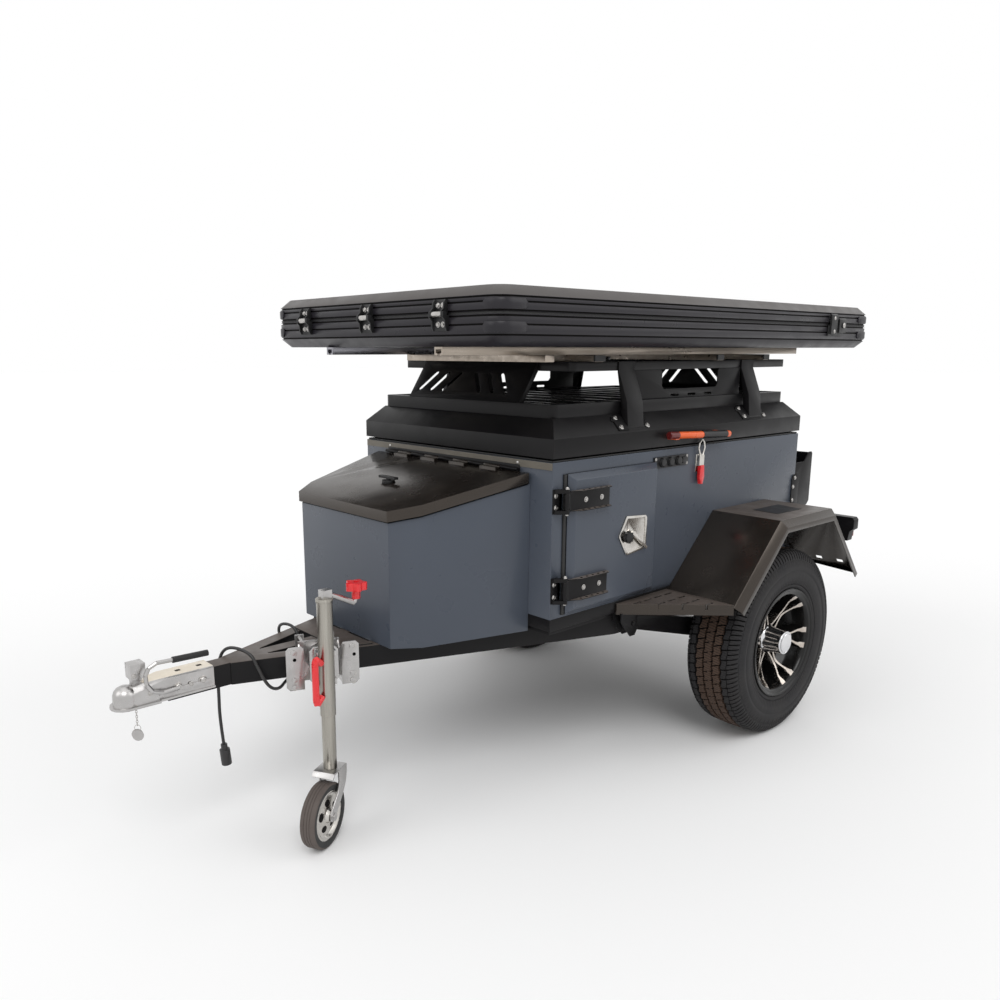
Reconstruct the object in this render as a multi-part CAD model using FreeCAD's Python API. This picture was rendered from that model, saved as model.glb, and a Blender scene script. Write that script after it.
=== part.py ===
import FreeCAD, Part
import math
import os

os.makedirs("parts", exist_ok=True)
V = FreeCAD.Vector

# Off-road camping trailer. Sizes in mm. Row frame: +X to the coupler, +Y to the left, +Z up.
# Lengths along X are measured from the body's front wall; x_front moves them to the row frame.
x_front = 336.5

# Body box with its base frame
body_len = 1520.0
body_half = 505.0
wall = 25.0
base_z0 = 581.0
body_z0 = 622.0
body_z1 = 1136.0
seal_h = 6.0

# Roof lid
lid_gap = 12.0
lid_over = 2.0
lid_band = 62.0
lid_slope_h = 58.0
lid_inset = 55.0
lid_wall = 20.0

# Roof tent and its rails
tent_front = 313.0
tent_rear = -1912.0
tent_half = 608.0
tent_y = -24.0
tent_z0 = 1492.0
tent_z1 = 1521.0
tent_seam = 1584.0
tent_z3 = 1632.0
tent_z4 = 1661.0
tent_cap_inset = 26.0
tent_corner = 52.0
tent_wall = 34.0
groove = 5.0
rail_h = 26.0
rail_w = 38.0
rail_y = 300.0
crossbar_h = 22.0
crossbar_w = 42.0
crossbar_x = (-66.0, -262.0, -968.0, -1294.0)
crossbar_half = 458.0

# Rack
tray_z0 = 1268.0
tray_h = 43.0
tray_half = 450.0
tray_front = -50.0
tray_rear = -1470.0
tube = 30.0
upper_front = -145.0
upper_rear = -1485.0
upper_half = 442.0
upper_h = 30.0
post_x = (-420.0, -1180.0)
post_w = 86.0
post_t = 5.0
post_foot_y = 497.0
post_bend_y = 487.0
post_bend_z = 1312.0

# Drawbar and chassis
arm_z0 = 493.0
arm_z1 = 563.0
arm_w = 50.0
arm_x = 902.0
arm_y = 30.0
arm_slope = 0.365
arm_rear = -360.0
nose_x = 1085.0
nose_half = 30.0
rail_in = 438.0
rail_out = 488.0

# Road wheels
axle_x = -1070.0
tyre_r = 367.5
tyre_y = 650.0
tyre_w = 226.0
lip_r = 216.0
rim_r = 203.0
spokes = 6
spoke_split = 10.0
spoke_w = 15.0
tyre_sides = 36
jock_sides = 24

# Fenders and steps
fen_y = 790.0
fen_t = 4.0
fen_path = ((-628.0, 604.0), (-905.0, 878.0), (-1287.0, 878.0), (-1534.0, 596.0))
bevel = 24.0
step_x = -332.0
step_z = 614.0
step_h = 38.0

# Tongue box: half outline in plan and the roof's slope
box_plan = ((0.0, 407.0), (373.0, 309.0), (456.0, 252.0))
box_z_front = 966.0
box_z_rear = 1060.0
box_lid_gap = 6.0
box_lid_t = 34.0
box_over = 8.0

# Doors, each with a raised panel outside and a plug in the opening
door_x0 = -526.0
door_x1 = -62.0
door_z0 = 630.0
door_z1 = 1098.0
door_plug = 21.0
door_fit = 8.0
door_gap = 6.0
door_raise = 20.0
door_bevel = 21.0
hinge_x = -38.0
hinge_z = ((677.0, 762.0), (973.0, 1052.0))
hinge_pin_r = 5.0

# Jockey wheel
jock_x = 680.0
jock_y = 235.0
jock_r = 24.0
jock_top = 765.0
jock_low = 403.0
jock_inner_r = 21.0
jock_inner_top = 588.0
crown_z = 232.0
jock_pivot_z = 552.0
castor_trail = 55.0
castor_turn = 29.0
jock_wheel_r = 100.0
jock_wheel_w = 50.0


def box(x0, x1, y0, y1, z0, z1):
    return Part.makeBox(abs(x1 - x0), abs(y1 - y0), abs(z1 - z0),
                        V(min(x0, x1), min(y0, y1), min(z0, z1)))


def cyl(radius, start, end):
    a, b = V(*start), V(*end)
    return Part.makeCylinder(radius, (b - a).Length, a, b - a)


def face(points):
    return Part.Face(Part.makePolygon([V(*p) for p in points] + [V(*points[0])]))


def prism_xz(points, y0, y1):
    return face([(x, y0, z) for x, z in points]).extrude(V(0, y1 - y0, 0))


def prism_yz(points, x0, x1):
    return face([(x0, y, z) for y, z in points]).extrude(V(x1 - x0, 0, 0))


def prism_xy(points, z0, z1):
    return face([(x, y, z0) for x, y in points]).extrude(V(0, 0, z1 - z0))


def fuse(shapes):
    return shapes[0].multiFuse(shapes[1:]).removeSplitter() if len(shapes) > 1 else shapes[0]


def mirrored(shape):
    return shape.mirror(V(0, 0, 0), V(0, 1, 0))


def round_rect(x0, x1, half, r, z):
    """Closed wire of a rectangle centred on y = 0, each corner turned in three flats."""
    pts = []
    for x, y, turn in ((x1, half, 0), (x0, half, 90), (x0, -half, 180), (x1, -half, 270)):
        cx, cy = x - math.copysign(r, x - (x0 + x1) / 2), y - math.copysign(r, y)
        for k in range(4):
            a = math.radians(turn + 30 * k)
            pts.append(V(cx + r * math.cos(a), cy + r * math.sin(a), z))
    return Part.makePolygon(pts + [pts[0]])


def rect_wire(x0, x1, half, z):
    pts = [V(x0, -half, z), V(x1, -half, z), V(x1, half, z), V(x0, half, z), V(x0, -half, z)]
    return Part.makePolygon(pts)


def loft(wires):
    return Part.makeLoft(wires, True, True)


def rod(radius, start, end, sides=12):
    """Bar with a regular polygon for its section, for round bars that nothing turns on."""
    a, b = V(*start), V(*end)
    axis = (b - a).normalize()
    side = axis.cross(V(0, 0, 1) if abs(axis.z) < 0.9 else V(1, 0, 0)).normalize()
    up = axis.cross(side)
    r = radius / math.cos(math.pi / sides)
    pts = []
    for i in range(sides + 1):
        t = 2 * math.pi * (i + 0.5) / sides
        pts.append(a + side * (r * math.cos(t)) + up * (r * math.sin(t)))
    return Part.Face(Part.makePolygon(pts)).extrude(b - a)


def facet_ring(points, centre_x, centre_y, centre_z, sides):
    """Closed (radius, y) outline turned about the Y axis in flat steps, flats touching the radius."""
    out = 1 / math.cos(math.pi / sides)
    rows = []
    for i in range(sides):
        t = 2 * math.pi * (i + 0.5) / sides
        rows.append([V(centre_x + r * out * math.cos(t), centre_y + y, centre_z + r * out * math.sin(t))
                     for r, y in points])
    faces = []
    for i in range(sides):
        a, b = rows[i], rows[(i + 1) % sides]
        for k in range(len(points)):
            m = (k + 1) % len(points)
            faces.append(Part.Face(Part.makePolygon([a[k], a[m], b[m], b[k], a[k]])))
    solid = Part.Solid(Part.makeShell(faces))
    if solid.Volume < 0:
        solid.reverse()
    return solid


def save(name, shape):
    shape = shape.copy()
    shape.translate(V(x_front, 0, 0))
    shape.exportStep("parts/" + name + ".step")


def both(name, shape):
    """A piece of the left side and its mirror image, as two nodes."""
    save(name + "_left", shape)
    save(name + "_right", mirrored(shape))


def pair(shape):
    """A piece of the left side and its mirror image, for one node."""
    return Part.makeCompound([shape, mirrored(shape)])


# Drawbar: two converging box-section arms, a nose tube, a centre beam and a cover plate
def arm_outer(x):
    return arm_y + arm_slope * (arm_x - x)


arm_cos = math.cos(math.atan(arm_slope))
arm_in = arm_w / arm_cos
arm_tip = arm_x - 12
arm = prism_xy([(arm_tip, arm_outer(arm_tip)), (arm_rear, arm_outer(arm_rear)),
                (arm_rear, arm_outer(arm_rear) - arm_in), (arm_tip, arm_outer(arm_tip) - arm_in)],
               arm_z0, arm_z1)
nose = box(760, nose_x, -nose_half, nose_half, arm_z0, arm_z1)
beam = box(-60, 770, -25, 25, arm_z0, arm_z1)
arm_keep = box(-400, arm_tip, 0, 600, 400, 700)
arm = arm.common(arm_keep)
plate_y = arm_outer(575) - 2
drawbar_plate = prism_xy([(470, arm_outer(470) - 12), (575, arm_outer(575) - 12),
                          (575, 12 - arm_outer(575)), (470, 12 - arm_outer(470))], arm_z1, arm_z1 + 5)
drawbar = fuse([arm, mirrored(arm), nose, beam, drawbar_plate])
save("drawbar", drawbar)

# Chassis: side rails behind the arms, cross members and the trailing arms' hangers
rail = box(-body_len + 8, arm_rear, rail_in, rail_out, arm_z0, base_z0)
front_rail = box(arm_rear, -15, rail_in, rail_out, arm_z1, base_z0)
members = [rail, mirrored(rail), front_rail, mirrored(front_rail), box(-70, -15, -470, 470, arm_z1, base_z0)]
for x in (-380, -760, -1140, -1490):
    members.append(box(x - 25, x + 25, -rail_in - 2, rail_in + 2, 521, base_z0))

pivot = (-407.0, 531.0)
hanger = prism_xz([(-341, base_z0), (-432, base_z0), (-432, 505), (-420, 486), (-395, 486), (-341, 548)],
                  rail_out, rail_out + 40)
hanger = hanger.cut(box(-440, -335, rail_out + 5, rail_out + 35, 480, 572))
hanger = hanger.fuse(rod(8, (pivot[0], rail_out, pivot[1]), (pivot[0], rail_out + 46, pivot[1])))
save("chassis", fuse(members + [hanger, mirrored(hanger)]).cut(drawbar))

# Trailing arm with its hub stub, and the coil over it
spindle_z = tyre_r
arm_y0 = rail_out + 7
arm_y1 = rail_out + 33
trail = prism_xz([(-372, 540), (-392, 560), (-430, 556), (axle_x - 10, spindle_z + 42),
                  (axle_x - 45, spindle_z + 10), (axle_x - 40, spindle_z - 30), (axle_x, spindle_z - 45),
                  (axle_x + 60, spindle_z - 30), (-420, 506), (-392, 506)], arm_y0, arm_y1)
trail = trail.cut(rod(8.05, (pivot[0], 400, pivot[1]), (pivot[0], 600, pivot[1])))
stub = cyl(22, (axle_x, arm_y1, spindle_z), (axle_x, 640, spindle_z))
save("trailing_arms", pair(trail.fuse(stub).removeSplitter()))

# Body base: perimeter frame with the floor sheet
base = box(-body_len, 0, -body_half, body_half, base_z0, body_z0)
base = base.cut(box(-body_len + 40, -40, -body_half + 40, body_half - 40, base_z0 - 1, body_z0 - 10))
save("body_base", base)

# Body shell: four walls with a door opening in each side
shell = box(-body_len, 0, -body_half, body_half, body_z0, body_z1)
shell = shell.cut(box(-body_len + wall, -wall, -body_half + wall, body_half - wall, 0, 2000))
open_x0, open_x1 = door_x0 + door_plug - door_fit, door_x1 - door_plug + door_fit
open_z0, open_z1 = door_z0 + door_plug - door_fit, door_z1 - door_plug + door_fit
shell = shell.cut(box(open_x0, open_x1, -700, 700, open_z0, open_z1))
save("body_shell", shell)

seal_w = 10.0
seal = box(-body_len + 4, -4, -body_half + 4, body_half - 4, body_z1, body_z1 + seal_h)
seal = seal.cut(box(-body_len + 4 + seal_w, -4 - seal_w, -body_half + 4 + seal_w, body_half - 4 - seal_w,
                    0, 2000))
save("body_seal", seal)

# Doors: bevelled raised panel outside, plug through the wall, straps and pins
hinge_y = body_half + door_gap + door_raise


def door():
    y0 = body_half + door_gap
    outer = Part.makePolygon([V(door_x0, y0, door_z0), V(door_x1, y0, door_z0), V(door_x1, y0, door_z1),
                              V(door_x0, y0, door_z1), V(door_x0, y0, door_z0)])
    b, y1 = door_bevel, y0 + door_raise
    inner = Part.makePolygon([V(door_x0 + b, y1, door_z0 + b), V(door_x1 - b, y1, door_z0 + b),
                              V(door_x1 - b, y1, door_z1 - b), V(door_x0 + b, y1, door_z1 - b),
                              V(door_x0 + b, y1, door_z0 + b)])
    panel = Part.makeLoft([outer, inner], True, True)
    plug = box(door_x0 + door_plug, door_x1 - door_plug, body_half - wall, y0,
               door_z0 + door_plug, door_z1 - door_plug)
    return fuse([panel, plug])


both("door", door())


def strap(z0, z1):
    """Flanged strap on the door's face, with its knuckle round the pin."""
    y = body_half + door_gap + door_raise
    web = box(-246, hinge_x - 16, y, y + 3, z0 + 6, z1 - 6)
    arm_part = box(hinge_x - 18, hinge_x, y, y + 3, z0 + 12, z1 - 12)
    top = prism_xy([(-246, y), (-246, y + 10), (-234, y + 22), (-96, y + 22), (-60, y + 3), (-60, y)],
                   z1 - 9, z1 - 6)
    low = top.copy()
    low.translate(V(0, 0, z0 - z1 + 15))
    knuckle = rod(9, (hinge_x, y + 2, z0 + 12), (hinge_x, y + 2, z1 - 12), 16)
    bore = cyl(hinge_pin_r + 0.05, (hinge_x, y + 2, z0), (hinge_x, y + 2, z1))
    return fuse([web, arm_part, top, low, knuckle]).cut(bore)


def leaf(z0, z1):
    """Fixed leaf wrapped on the body's corner, with two knuckles and the pin."""
    y = body_half + door_gap + door_raise
    plate = box(-29, 0, body_half, body_half + 4, z0, z1)
    parts = [plate]
    for a, b in ((z0, z0 + 11.5), (z1 - 11.5, z1)):
        ear = [(-20, body_half), (-4, body_half), (-4, body_half + 10), (hinge_x + 2, y + 11),
               (hinge_x - 8, y + 6), (hinge_x - 6, y - 4)]
        parts.append(prism_xy(ear, a, b))
        parts.append(rod(9, (hinge_x, y + 2, a), (hinge_x, y + 2, b), 16))
    parts.append(cyl(hinge_pin_r, (hinge_x, y + 2, z0 + 5), (hinge_x, y + 2, z1 - 5)))
    parts.append(rod(6.5, (hinge_x, y + 2, z1), (hinge_x, y + 2, z1 + 3), 8))
    return fuse(parts)


both("door_strap", Part.makeCompound([strap(*z) for z in hinge_z]))
save("door_hinge_leaves", pair(Part.makeCompound([leaf(*z) for z in hinge_z])))

# Paddle latch: stainless pan with knob and lever
latch_y = body_half + door_gap + door_raise
pan_pts = [(-340, 929), (-444, 921), (-452, 913), (-452, 811), (-446, 803), (-350, 792), (-340, 798),
           (-303, 858), (-303, 866)]
mid_x, mid_z = -382.0, 862.0
floor_pts = [(mid_x + 0.86 * (x - mid_x), mid_z + 0.86 * (z - mid_z)) for x, z in pan_pts]
pan = prism_xz(pan_pts, latch_y, latch_y + 5).cut(prism_xz(floor_pts, latch_y + 2.5, latch_y + 6))
star = []
for i in range(24):
    a = math.radians(15 * i)
    r = 19 + 2.5 * math.cos(8 * a)
    star.append((-338 + r * math.cos(a), 858 + r * math.sin(a)))
knob = prism_xz(star, latch_y + 9, latch_y + 24).fuse(rod(9, (-338, latch_y + 2, 858),
                                                          (-338, latch_y + 10, 858)))
lever = prism_xz([(-366, 878), (-358, 870), (-440, 802), (-450, 808)], latch_y + 9, latch_y + 15).fuse(
    rod(8, (-376, latch_y + 2, 864), (-376, latch_y + 12, 864)))
both("door_latch", fuse([pan, knob, lever]))

# Roof lid: hollow frustum with an upright band
lid_z0 = body_z1 + lid_gap
lid_z1 = lid_z0 + lid_band
lid_z2 = lid_z1 + lid_slope_h
lx0, lx1, ly = -body_len - lid_over, lid_over, body_half + lid_over
lid_out = box(lx0, lx1, -ly, ly, lid_z0, lid_z1).fuse(
    loft([rect_wire(lx0, lx1, ly, lid_z1),
          rect_wire(lx0 + lid_inset, lx1 - lid_inset, ly - lid_inset, lid_z2)]))
w = lid_wall
lid_in = box(lx0 + w, lx1 - w, -ly + w, ly - w, lid_z0, lid_z1).fuse(
    loft([rect_wire(lx0 + w, lx1 - w, ly - w, lid_z1),
          rect_wire(lx0 + lid_inset, lx1 - lid_inset, ly - lid_inset, lid_z2 - w)]))
roof_lid = lid_out.cut(lid_in).removeSplitter()

# Lid hinges on the far side: fixed knuckles on the wall, moving ones on the band
lid_axis_y = -(body_half + 14.0)
lid_axis_z = body_z1 + lid_gap / 2
fixed, moving = [], []
for x in (-260.0, -760.0, -1260.0):
    plate = box(x - 60, x + 60, -body_half - 4, -body_half, body_z1 - 30, body_z1 - 6)
    for a, b in ((x - 60, x - 21), (x + 21, x + 60)):
        knuckle = rod(8, (a, lid_axis_y, lid_axis_z), (b, lid_axis_y, lid_axis_z))
        web = box(a, b, lid_axis_y - 4, -body_half, body_z1 - 12, lid_axis_z).cut(
            box(a, b, -ly - 1, -400, body_z1, 1200))
        fixed.append(fuse([knuckle, web.common(box(a, b, -600, -body_half, 0, 2000))]))
    fixed.append(plate)
    fixed.append(cyl(4, (x - 40, lid_axis_y, lid_axis_z), (x + 40, lid_axis_y, lid_axis_z)))
    knuckle = rod(8, (x - 20, lid_axis_y, lid_axis_z), (x + 20, lid_axis_y, lid_axis_z))
    up = box(x - 20, x + 20, -ly - 4, -ly, lid_z0 + 1, lid_z0 + 50)
    neck = box(x - 20, x + 20, lid_axis_y - 3, -ly, lid_axis_z + 2, lid_axis_z + 9)
    moving.append(fuse([knuckle, up, neck]).cut(
        cyl(4.05, (x - 30, lid_axis_y, lid_axis_z), (x + 30, lid_axis_y, lid_axis_z))))
save("lid_hinge_fixed", fuse(fixed))
save("roof_lid", fuse([roof_lid] + moving))

# Rack: lower tray, upper frame, end plates, side plates and bent posts
def frame_of_tubes(x0, x1, half, z0, h, w):
    """Welded tube frame with round outer corners."""
    outer = Part.Face(round_rect(x0, x1, half, w - 2, z0)).extrude(V(0, 0, h))
    return outer.cut(box(x0 + w, x1 - w, -half + w, half - w, z0 - 1, z0 + h + 1))


tray = frame_of_tubes(tray_rear, tray_front, tray_half, tray_z0, tray_h, tube)
slats = [box(x - 20, x + 20, -tray_half + tube, tray_half - tube, tray_z0 + 4, tray_z0 + tray_h - 4)
         for x in (-190, -330, -470, -610, -750, -890, -1030, -1170, -1310)]
save("rack_tray", fuse([tray] + slats))

upper_z1 = tent_z0 - rail_h - crossbar_h
upper_z0 = upper_z1 - upper_h
upper = frame_of_tubes(upper_rear, upper_front, upper_half, upper_z0, upper_h, tube)
save("rack_upper_frame", upper)


def end_plate(x_low, x_high, z1):
    """Leaning plate with three slots to each side and its edges folded back."""
    z0 = tray_z0 + tray_h
    t = 4.0 if x_low > x_high else -4.0
    plate = prism_xz([(x_low, z0), (x_low - t, z0), (x_high - t, z1), (x_high, z1)], -297, 297)
    cuts = []
    for side in (-1, 1):
        for i in range(3):
            y = side * (70 + 67 * i) - 22
            cuts.append(prism_yz([(y + side * 36, z0 + 30), (y + side * 30, z0 + 24),
                                  (y + side * 18, z0 + 30),
                                  (y - side * 36, z0 + 88), (y - side * 30, z0 + 94),
                                  (y - side * 18, z0 + 88)],
                                 min(x_low, x_high) - 20, max(x_low, x_high) + 20))
    plate = plate.cut(Part.makeCompound(cuts))
    fold = prism_xz([(x_low, z0), (x_low - 5 * t, z0), (x_high - 5 * t, z1), (x_high, z1)], 293, 297)
    return fuse([plate, fold, mirrored(fold)]).cut(upper)


save("rack_end_plates", Part.makeCompound([
    end_plate(tray_front - 4, upper_front + 4, upper_z1),
    end_plate(tray_rear + 4, upper_rear + 30, upper_z1)]))

plate_x0, plate_x1 = post_x[1] + post_w / 2, post_x[0] - post_w / 2
side = prism_xz([(plate_x1, tray_z0 + tray_h), (plate_x0, tray_z0 + tray_h), (plate_x0, upper_z0),
                 (-990, upper_z0), (-982, upper_z0 - 8), (-982, 1357), (-970, 1345), (-642, 1345),
                 (-630, 1357), (-630, upper_z0 - 8), (-622, upper_z0), (plate_x1, upper_z0)],
                upper_half - 4, upper_half)
small = [prism_xz([(x - 22, 1326), (x - 26, 1322), (x - 22, 1318), (x + 22, 1318), (x + 26, 1322),
                   (x + 22, 1326)], 400, 500) for x in (-710, -815, -920)]
save("rack_side_plates", pair(side.cut(Part.makeCompound(small))))


def slope_z(y):
    """Height of the lid's side slope at y."""
    return lid_z1 + (ly - y) * lid_slope_h / lid_inset


def post(x):
    """C-section post: foot on the lid's slope, upright, then leaning in to the upper frame."""
    x0, x1 = x - post_w / 2, x + post_w / 2
    face_line = ((post_foot_y, lid_z1), (post_bend_y, post_bend_z), (upper_half + post_t, upper_z0),
                 (upper_half + post_t, upper_z1))
    back = [(y - post_t, z) for y, z in reversed(face_line)]
    deep = [(upper_half, upper_z1), (upper_half, upper_z0 - 4), (post_bend_y - 26, post_bend_z),
            (post_foot_y - 26, lid_z1)]
    web = prism_yz(list(face_line) + back, x0, x1)
    cheek = list(face_line) + deep
    slope_t = 4.5
    foot_sheet = prism_yz([(post_foot_y - 1, slope_z(post_foot_y - 1)), (464, slope_z(464)),
                           (464, slope_z(464) + slope_t),
                           (post_foot_y - 1, slope_z(post_foot_y - 1) + slope_t)],
                          x0 - 34, x1 + 62)
    z_low, z_high = slope_z(post_foot_y) - 2, slope_z(464) + 12
    outline = prism_xz([(x0 - 2, z_low), (x1 + 14, z_low), (x1 + 62, z_high - 16), (x1 + 50, z_high),
                        (x0 - 20, z_high), (x0 - 34, z_high - 20)], 440, 520)
    return fuse([web, prism_yz(cheek, x0, x0 + post_t), prism_yz(cheek, x1 - post_t, x1),
                 foot_sheet.common(outline)]).cut(lid_out)


save("rack_posts", pair(Part.makeCompound([post(x) for x in post_x])))

# Crossbars and the tent's two rails
rails = []
for x, y0, y1 in zip(crossbar_x, (-296, ) + (-crossbar_half, ) * 3, (420, ) + (crossbar_half, ) * 3):
    rails.append(box(x - crossbar_w / 2, x + crossbar_w / 2, y0, y1, tent_z0 - rail_h - crossbar_h,
                     tent_z0 - rail_h))
for y in (-rail_y, rail_y):
    r = box(-1795, 293, y - rail_w / 2, y + rail_w / 2, tent_z0 - rail_h, tent_z0)
    r = r.cut(box(-2000, 400, y - 6, y + 6, tent_z0 - rail_h - 1, tent_z0 - 8))
    r = r.cut(box(-2000, 400, y - 13, y + 13, tent_z0 - 19, tent_z0 - 8))
    rails.append(r)
save("tent_rails", fuse(rails))

# Roof tent: lower and upper shells, each with a chamfered cap and grooved sides
def shell_solid(z_cap, z_side0, z_side1, groove_z):
    """Side wall between two heights, with the chamfered cap towards z_cap."""
    i = tent_cap_inset
    z_near = z_side0 if abs(z_cap - z_side0) < abs(z_cap - z_side1) else z_side1
    side_part = Part.Face(round_rect(tent_rear, tent_front, tent_half, tent_corner, z_side0)).extrude(
        V(0, 0, z_side1 - z_side0))
    cap = loft([round_rect(tent_rear, tent_front, tent_half, tent_corner, z_near),
                round_rect(tent_rear + i, tent_front - i, tent_half - i, tent_corner, z_cap)])
    body = side_part.fuse(cap).removeSplitter()
    g = groove
    for z in groove_z:
        out_wire = round_rect(tent_rear - 5, tent_front + 5, tent_half + 5, tent_corner, z)
        in_wire = round_rect(tent_rear + g, tent_front - g, tent_half - g, tent_corner - g, z)
        ring = Part.Face(out_wire).extrude(V(0, 0, g)).cut(Part.Face(in_wire).extrude(V(0, 0, g)))
        body = body.cut(ring)
    return body


seam_low, seam_high = tent_seam - 3, tent_seam + 3
lower_shell = shell_solid(tent_z0, tent_z1, seam_low, (tent_z1, tent_z1 + 29, seam_low - 7))
upper_shell = shell_solid(tent_z4, seam_high, tent_z3, (seam_high + 1, seam_high + 25, tent_z3 - 6))
t = tent_wall
lower_shell = lower_shell.cut(box(tent_rear + t, tent_front - t, -tent_half + t, tent_half - t,
                                  tent_z0 + 18, 2000))
upper_shell = upper_shell.cut(box(tent_rear + t, tent_front - t, -tent_half + t, tent_half - t, 0,
                                  tent_z4 - 18))
mattress = box(tent_rear + t + 6, tent_front - t - 6, -tent_half + t + 6, tent_half - t - 6,
               tent_z0 + 18, seam_low - 4)
for name, solid in (("tent_base", lower_shell), ("tent_top", upper_shell), ("tent_mattress", mattress)):
    solid.translate(V(0, tent_y, 0))
    save(name, solid)

# Tent hinges on the front edge: a plate and two cheeks on each shell, one pin through all four
hinge_tent_x = tent_front + 15.0
low_parts, high_parts = [], []


def cheek(y, z_end, z_pin, reach):
    """Lobed cheek from its plate out to the pin."""
    s_z = 1 if z_end > z_pin else -1
    pts = [(tent_front, z_end), (tent_front + 8, z_end), (tent_front + 14, z_end - s_z * 10),
           (tent_front + 15, z_pin + s_z * 18), (tent_front + reach, z_pin + s_z * 9),
           (tent_front + reach, z_pin - s_z * 7), (tent_front + 17, z_pin - s_z * 9),
           (tent_front + 10, z_pin - s_z * 7.5), (tent_front + 6.5, z_pin + s_z * 4),
           (tent_front, z_pin + s_z * 4)]
    return prism_xz(pts, y, y + 5)


pin_r = 4.0
for y in (-409.0, -32.0, 341.0):
    bore = cyl(pin_r + 0.05, (hinge_tent_x, y - 60, tent_seam), (hinge_tent_x, y + 60, tent_seam))
    low_parts.append(fuse([
        box(tent_front, tent_front + 5, y - 33, y + 33, 1536, seam_low),
        cheek(y - 33, 1536, tent_seam, 24), cheek(y + 28, 1536, tent_seam, 24),
        cyl(pin_r, (hinge_tent_x, y - 33, tent_seam), (hinge_tent_x, y + 33, tent_seam))]))
    high_parts.append(fuse([
        box(tent_front, tent_front + 5, y - 27, y + 27, seam_high, 1626),
        cheek(y - 27, 1626, tent_seam, 24), cheek(y + 22, 1626, tent_seam, 24),
        rod(8, (hinge_tent_x, y - 22, tent_seam), (hinge_tent_x, y + 22, tent_seam))]).cut(bore))
save("tent_hinge_low", Part.makeCompound(low_parts))
save("tent_hinge_high", Part.makeCompound(high_parts))

# Tent side latches near the rear, the keeper on the upper shell
near_y = tent_half
latch = fuse([box(-1664, -1536, near_y, near_y + 6, 1540, seam_low),
              prism_yz([(near_y + 5.5, 1546), (near_y + 14, 1546), (near_y + 14, 1622), (near_y + 5.5, 1628)],
                       -1598, -1546),
              prism_yz([(near_y + 5.5, 1552), (near_y + 18, 1552), (near_y + 18, 1604), (near_y + 12, 1612),
                        (near_y + 5.5, 1612)], -1662, -1606),
              box(-1606, -1598, near_y + 5.5, near_y + 10, 1560, seam_low),
              rod(11, (-1636, near_y + 17, 1582), (-1636, near_y + 22, 1582), 12)])
latches = pair(latch)
latches.translate(V(0, tent_y, 0))
save("tent_latches", latches)

# Tongue box: angled front, sloping roof, walls of sheet
def box_top(x):
    return box_z_rear + (box_z_front - box_z_rear) * x / box_plan[2][0]


def plan_solid(offset, z0, z1):
    (x0, y0), (x1, y1), (x2, y2) = box_plan
    pts = [(x0, y0 + offset), (x1 + 0.5 * offset, y1 + offset), (x2 + offset, y2 + 0.6 * offset)]
    return prism_xy(pts + [(x, -y) for x, y in reversed(pts)], z0, z1)


def below_slope(lift):
    """Everything under the roof plane raised by the lift."""
    far = 900
    return prism_xz([(-10, 0), (far, 0), (far, box_top(far) + lift), (-10, box_top(-10) + lift)], -700, 700)


tongue = plan_solid(0, arm_z1, 1300).common(below_slope(0)).cut(plan_solid(-4, arm_z1 + 4, 1400).common(
    box(4, 900, -700, 700, 0, 2000)))
tongue = tongue.cut(drawbar_plate)
save("tongue_box", tongue)
lid_solid = plan_solid(box_over, 700, 1400).common(box(12, 900, -700, 700, 0, 2000))
lid_cap = lid_solid.common(below_slope(box_lid_gap + box_lid_t)).cut(below_slope(box_lid_gap))
lid_hollow = plan_solid(box_over - 5, 700, 1400).common(box(17, 900, -700, 700, 0, 2000))
lid_cap = lid_cap.cut(lid_hollow.common(below_slope(box_lid_gap + box_lid_t - 6)))

tl_axis_x = 12.0
tl_axis_z = box_top(8) + box_lid_gap + box_lid_t + 6
tl_low = [box(0, 3, -360, 360, tl_axis_z - 8, tl_axis_z + 14)]
tl_low.append(rod(2.7, (tl_axis_x, -350, tl_axis_z), (tl_axis_x, 350, tl_axis_z), 8))
tl_low.append(cyl(3, (tl_axis_x, 30, tl_axis_z), (tl_axis_x, 130, tl_axis_z)))
tl_high = []
for i in range(9):
    y = -360 + 80 * i
    if i % 2:
        leaf_solid = fuse([rod(5.5, (tl_axis_x, y + 0.5, tl_axis_z), (tl_axis_x, y + 79.5, tl_axis_z)),
                           box(tl_axis_x, tl_axis_x + 24, y + 0.5, y + 79.5, tl_axis_z - 16, tl_axis_z - 1)])
        start, end = (tl_axis_x, y - 10, tl_axis_z), (tl_axis_x, y + 90, tl_axis_z)
        leaf_solid = leaf_solid.cut(cyl(3.05, start, end) if i == 5 else rod(3.05, start, end, 8))
        tl_high.append(leaf_solid)
    else:
        tl_low.append(rod(5.5, (tl_axis_x, y, tl_axis_z), (tl_axis_x, y + 80, tl_axis_z)))
        tl_low.append(box(0, tl_axis_x, y, y + 80, tl_axis_z - 2, tl_axis_z + 2))
save("tongue_hinge", fuse(tl_low))
save("tongue_lid", fuse([lid_cap] + tl_high))

lock_x = 268.0
lock_z = box_top(lock_x) + box_lid_gap + box_lid_t
lock = cyl(22, (lock_x, 0, lock_z - 3), (lock_x, 0, lock_z + 9)).cut(below_slope(box_lid_gap + box_lid_t))
grip = box(lock_x - 8, lock_x + 8, -45, 45, lock_z + 14, lock_z + 22)
grip = fuse([lock, cyl(8, (lock_x, 0, lock_z + 5), (lock_x, 0, lock_z + 20)), grip])
save("tongue_lock", grip)

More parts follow.
